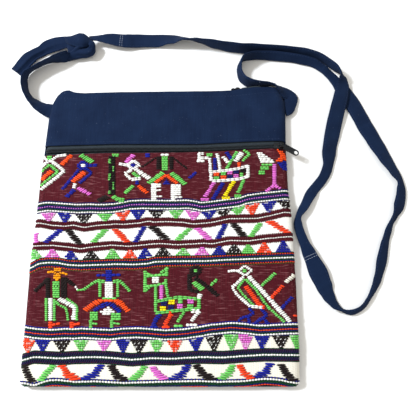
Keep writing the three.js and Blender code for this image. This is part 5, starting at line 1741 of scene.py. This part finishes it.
knot_wraps = [band_piece(name, knot_track(turns), plump) for name, turns in (
    ("knot_top_wrap", TOP_WRAP), ("knot_right_lobe", RIGHT_LOBE), ("knot_middle_strand", MIDDLE_STRAND))]
bpy.ops.object.select_all(action="DESELECT")
bpy.ops.mesh.primitive_uv_sphere_add(segments=36, ring_count=20, radius=1)
knot_core = bpy.context.object
knot_core.name = "knot_core"
core = np.array([v.co for v in knot_core.data.vertices])
ripple = 1 + 0.05 * np.sin(7 * core[:, 0] + 3 * core[:, 1]) + 0.04 * np.sin(9 * core[:, 1] - 4 * core[:, 2])
core = core * ripple[:, None] * CORE_SIZE + CORE_AT
knot_core.data.vertices.foreach_set("co", (core * MM).ravel())
knot_core.data.update()
knot_core.data.shade_smooth()
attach(knot_core, "bag")
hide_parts("strap_knot")
dress(navy_panel, knot_core)
dress(navy_strap, *knot_wraps)
print("knot of", len(knot_wraps), "wraps and a core")

# %% [markdown]
# ## Stitches
# Navy thread holds the hems of the band and runs along both edges of the strap, hardly lighter than the
# cloth. White thread shows in three places, where lengths of strap were joined by short rows sewn across
# it. Each stitch is a lens of thread half sunk in the cloth.

# %% Stitch rows
STITCH_SIZE = [2.3, 0.5, 0.3]
JOIN_STITCH_SIZE = [1.9, 0.42, 0.3]
STITCH_STEP = 3.1
STITCH_SINK = 0.24
FIRST_STITCH = 4.0
LAST_STITCH = 3
HEM_ENDS = (-114, 114)
NAVY_THREAD = linear((38, 54, 88))
WHITE_THREAD = linear((176, 186, 206))


def strap_spots(track, run, place, face):
    """Middle, direction along and direction out of points on a face of the strap."""
    at = [np.stack([np.interp(run, track.run, rows[:, c]) for c in range(3)], -1)
          for rows in (track.middle, track.along, track.wide, track.out)]
    half = np.interp(run, track.run, track.half)
    lift = face * STRAP_THICK / 2 * half_thickness(np.asarray(place, float)) + creases(run, place)
    middle = at[0] + at[2] * (half * place)[..., None] + at[3] * lift[..., None]
    return middle, at[1], at[2], at[3] * face


def edge_stitches(track):
    """Rows of stitches along both edges of both faces."""
    rows = []
    for place in (-STITCH_PLACE, STITCH_PLACE):
        for face in (-1, 1):
            run = np.arange(FIRST_STITCH, track.run[-1] - LAST_STITCH, STITCH_STEP)
            rows.append(strap_spots(track, run, np.full(len(run), place), face))
    middle, along, _, out = (np.vstack(parts) for parts in zip(*rows))
    return middle, along, out


sewn = [edge_stitches(track) for track in (long_track, left_track)]
middle, along, out = (np.vstack(parts) for parts in zip(*sewn))
strap_stitches = lens_mesh("strap_edge_stitches", middle, along, out, STITCH_SIZE, NAVY_THREAD, "navy_cloth")


def in_picture(points):
    """Places on the chart's paper of points in millimetres."""
    away = points - EYE
    up = away[:, 1] * math.cos(LEAN) + away[:, 2] * math.sin(LEAN)
    ahead = away[:, 1] * math.sin(LEAN) - away[:, 2] * math.cos(LEAN)
    middle = PICTURE_SIDE / 2
    return np.stack([middle + PICTURE_FOCAL * away[:, 0] / ahead, middle - PICTURE_FOCAL * up / ahead], 1)


Tack = namedtuple("Tack", "across down gap count")
TACKS = [Tack(121.6, 40.8, 2.2, 6), Tack(309.8, 257.6, 2.6, 6), Tack(259, 82.4, 0.0, 3)]
paper = in_picture(long_track.middle)
spots = []
for tack in TACKS:
    run = long_track.run[np.argmin(np.linalg.norm(paper - [tack.across, tack.down], axis=1))]
    for row in ((-1, 1) if tack.gap else (0,)):
        for face in (-1, 1):
            place = np.linspace(-0.8, 0.8, tack.count)
            spots.append(strap_spots(long_track, np.full(tack.count, run + row * tack.gap / 2), place, face))
middle, _, wide, out = (np.vstack(parts) for parts in zip(*spots))
join_stitches = lens_mesh("strap_join_stitches", middle, wide, out, JOIN_STITCH_SIZE, WHITE_THREAD,
                          "navy_cloth")

hem_x = np.arange(*HEM_ENDS, STITCH_STEP)
hem_y = np.concatenate([read(BAND_EDGE, hem_x) + BAND_STITCH, read(MOUTH_EDGE, hem_x) - MOUTH_STITCH])
hem_x = np.tile(hem_x, 2)
hem_middle = skin(hem_x, hem_y, -STITCH_SINK)
hem_along = skin(hem_x + 1, hem_y, -STITCH_SINK) - hem_middle
hem_up = skin(hem_x, hem_y, 1.0) - hem_middle
hem_stitches = lens_mesh("band_hem_stitches", hem_middle, hem_along, hem_up, STITCH_SIZE, NAVY_THREAD,
                         "navy_cloth")
thread_material, tree, shader = new_material("sewing_thread", 0.6, sheen=0.05)
place = cloth_place(tree, True)
colour = mesh_colour(tree, "yarn")
twist = twisted(tree, place, 16.0)
# Painted shade: the thread's colour darkens along its twist, following the same lines as the bump.
tree.links.new(mixed(tree, spread(tree, twist, -1.0, 1.0, 0.35, 0.0), colour, (0.0, 0.0, 0.0)),
               shader.inputs["Base Color"])
add_bump(tree, shader, twist, 0.3, 0.0001)
dress(thread_material, strap_stitches, join_stitches, hem_stitches)
print("stitches", len(middle), "white,", len(hem_x), "in the hems")
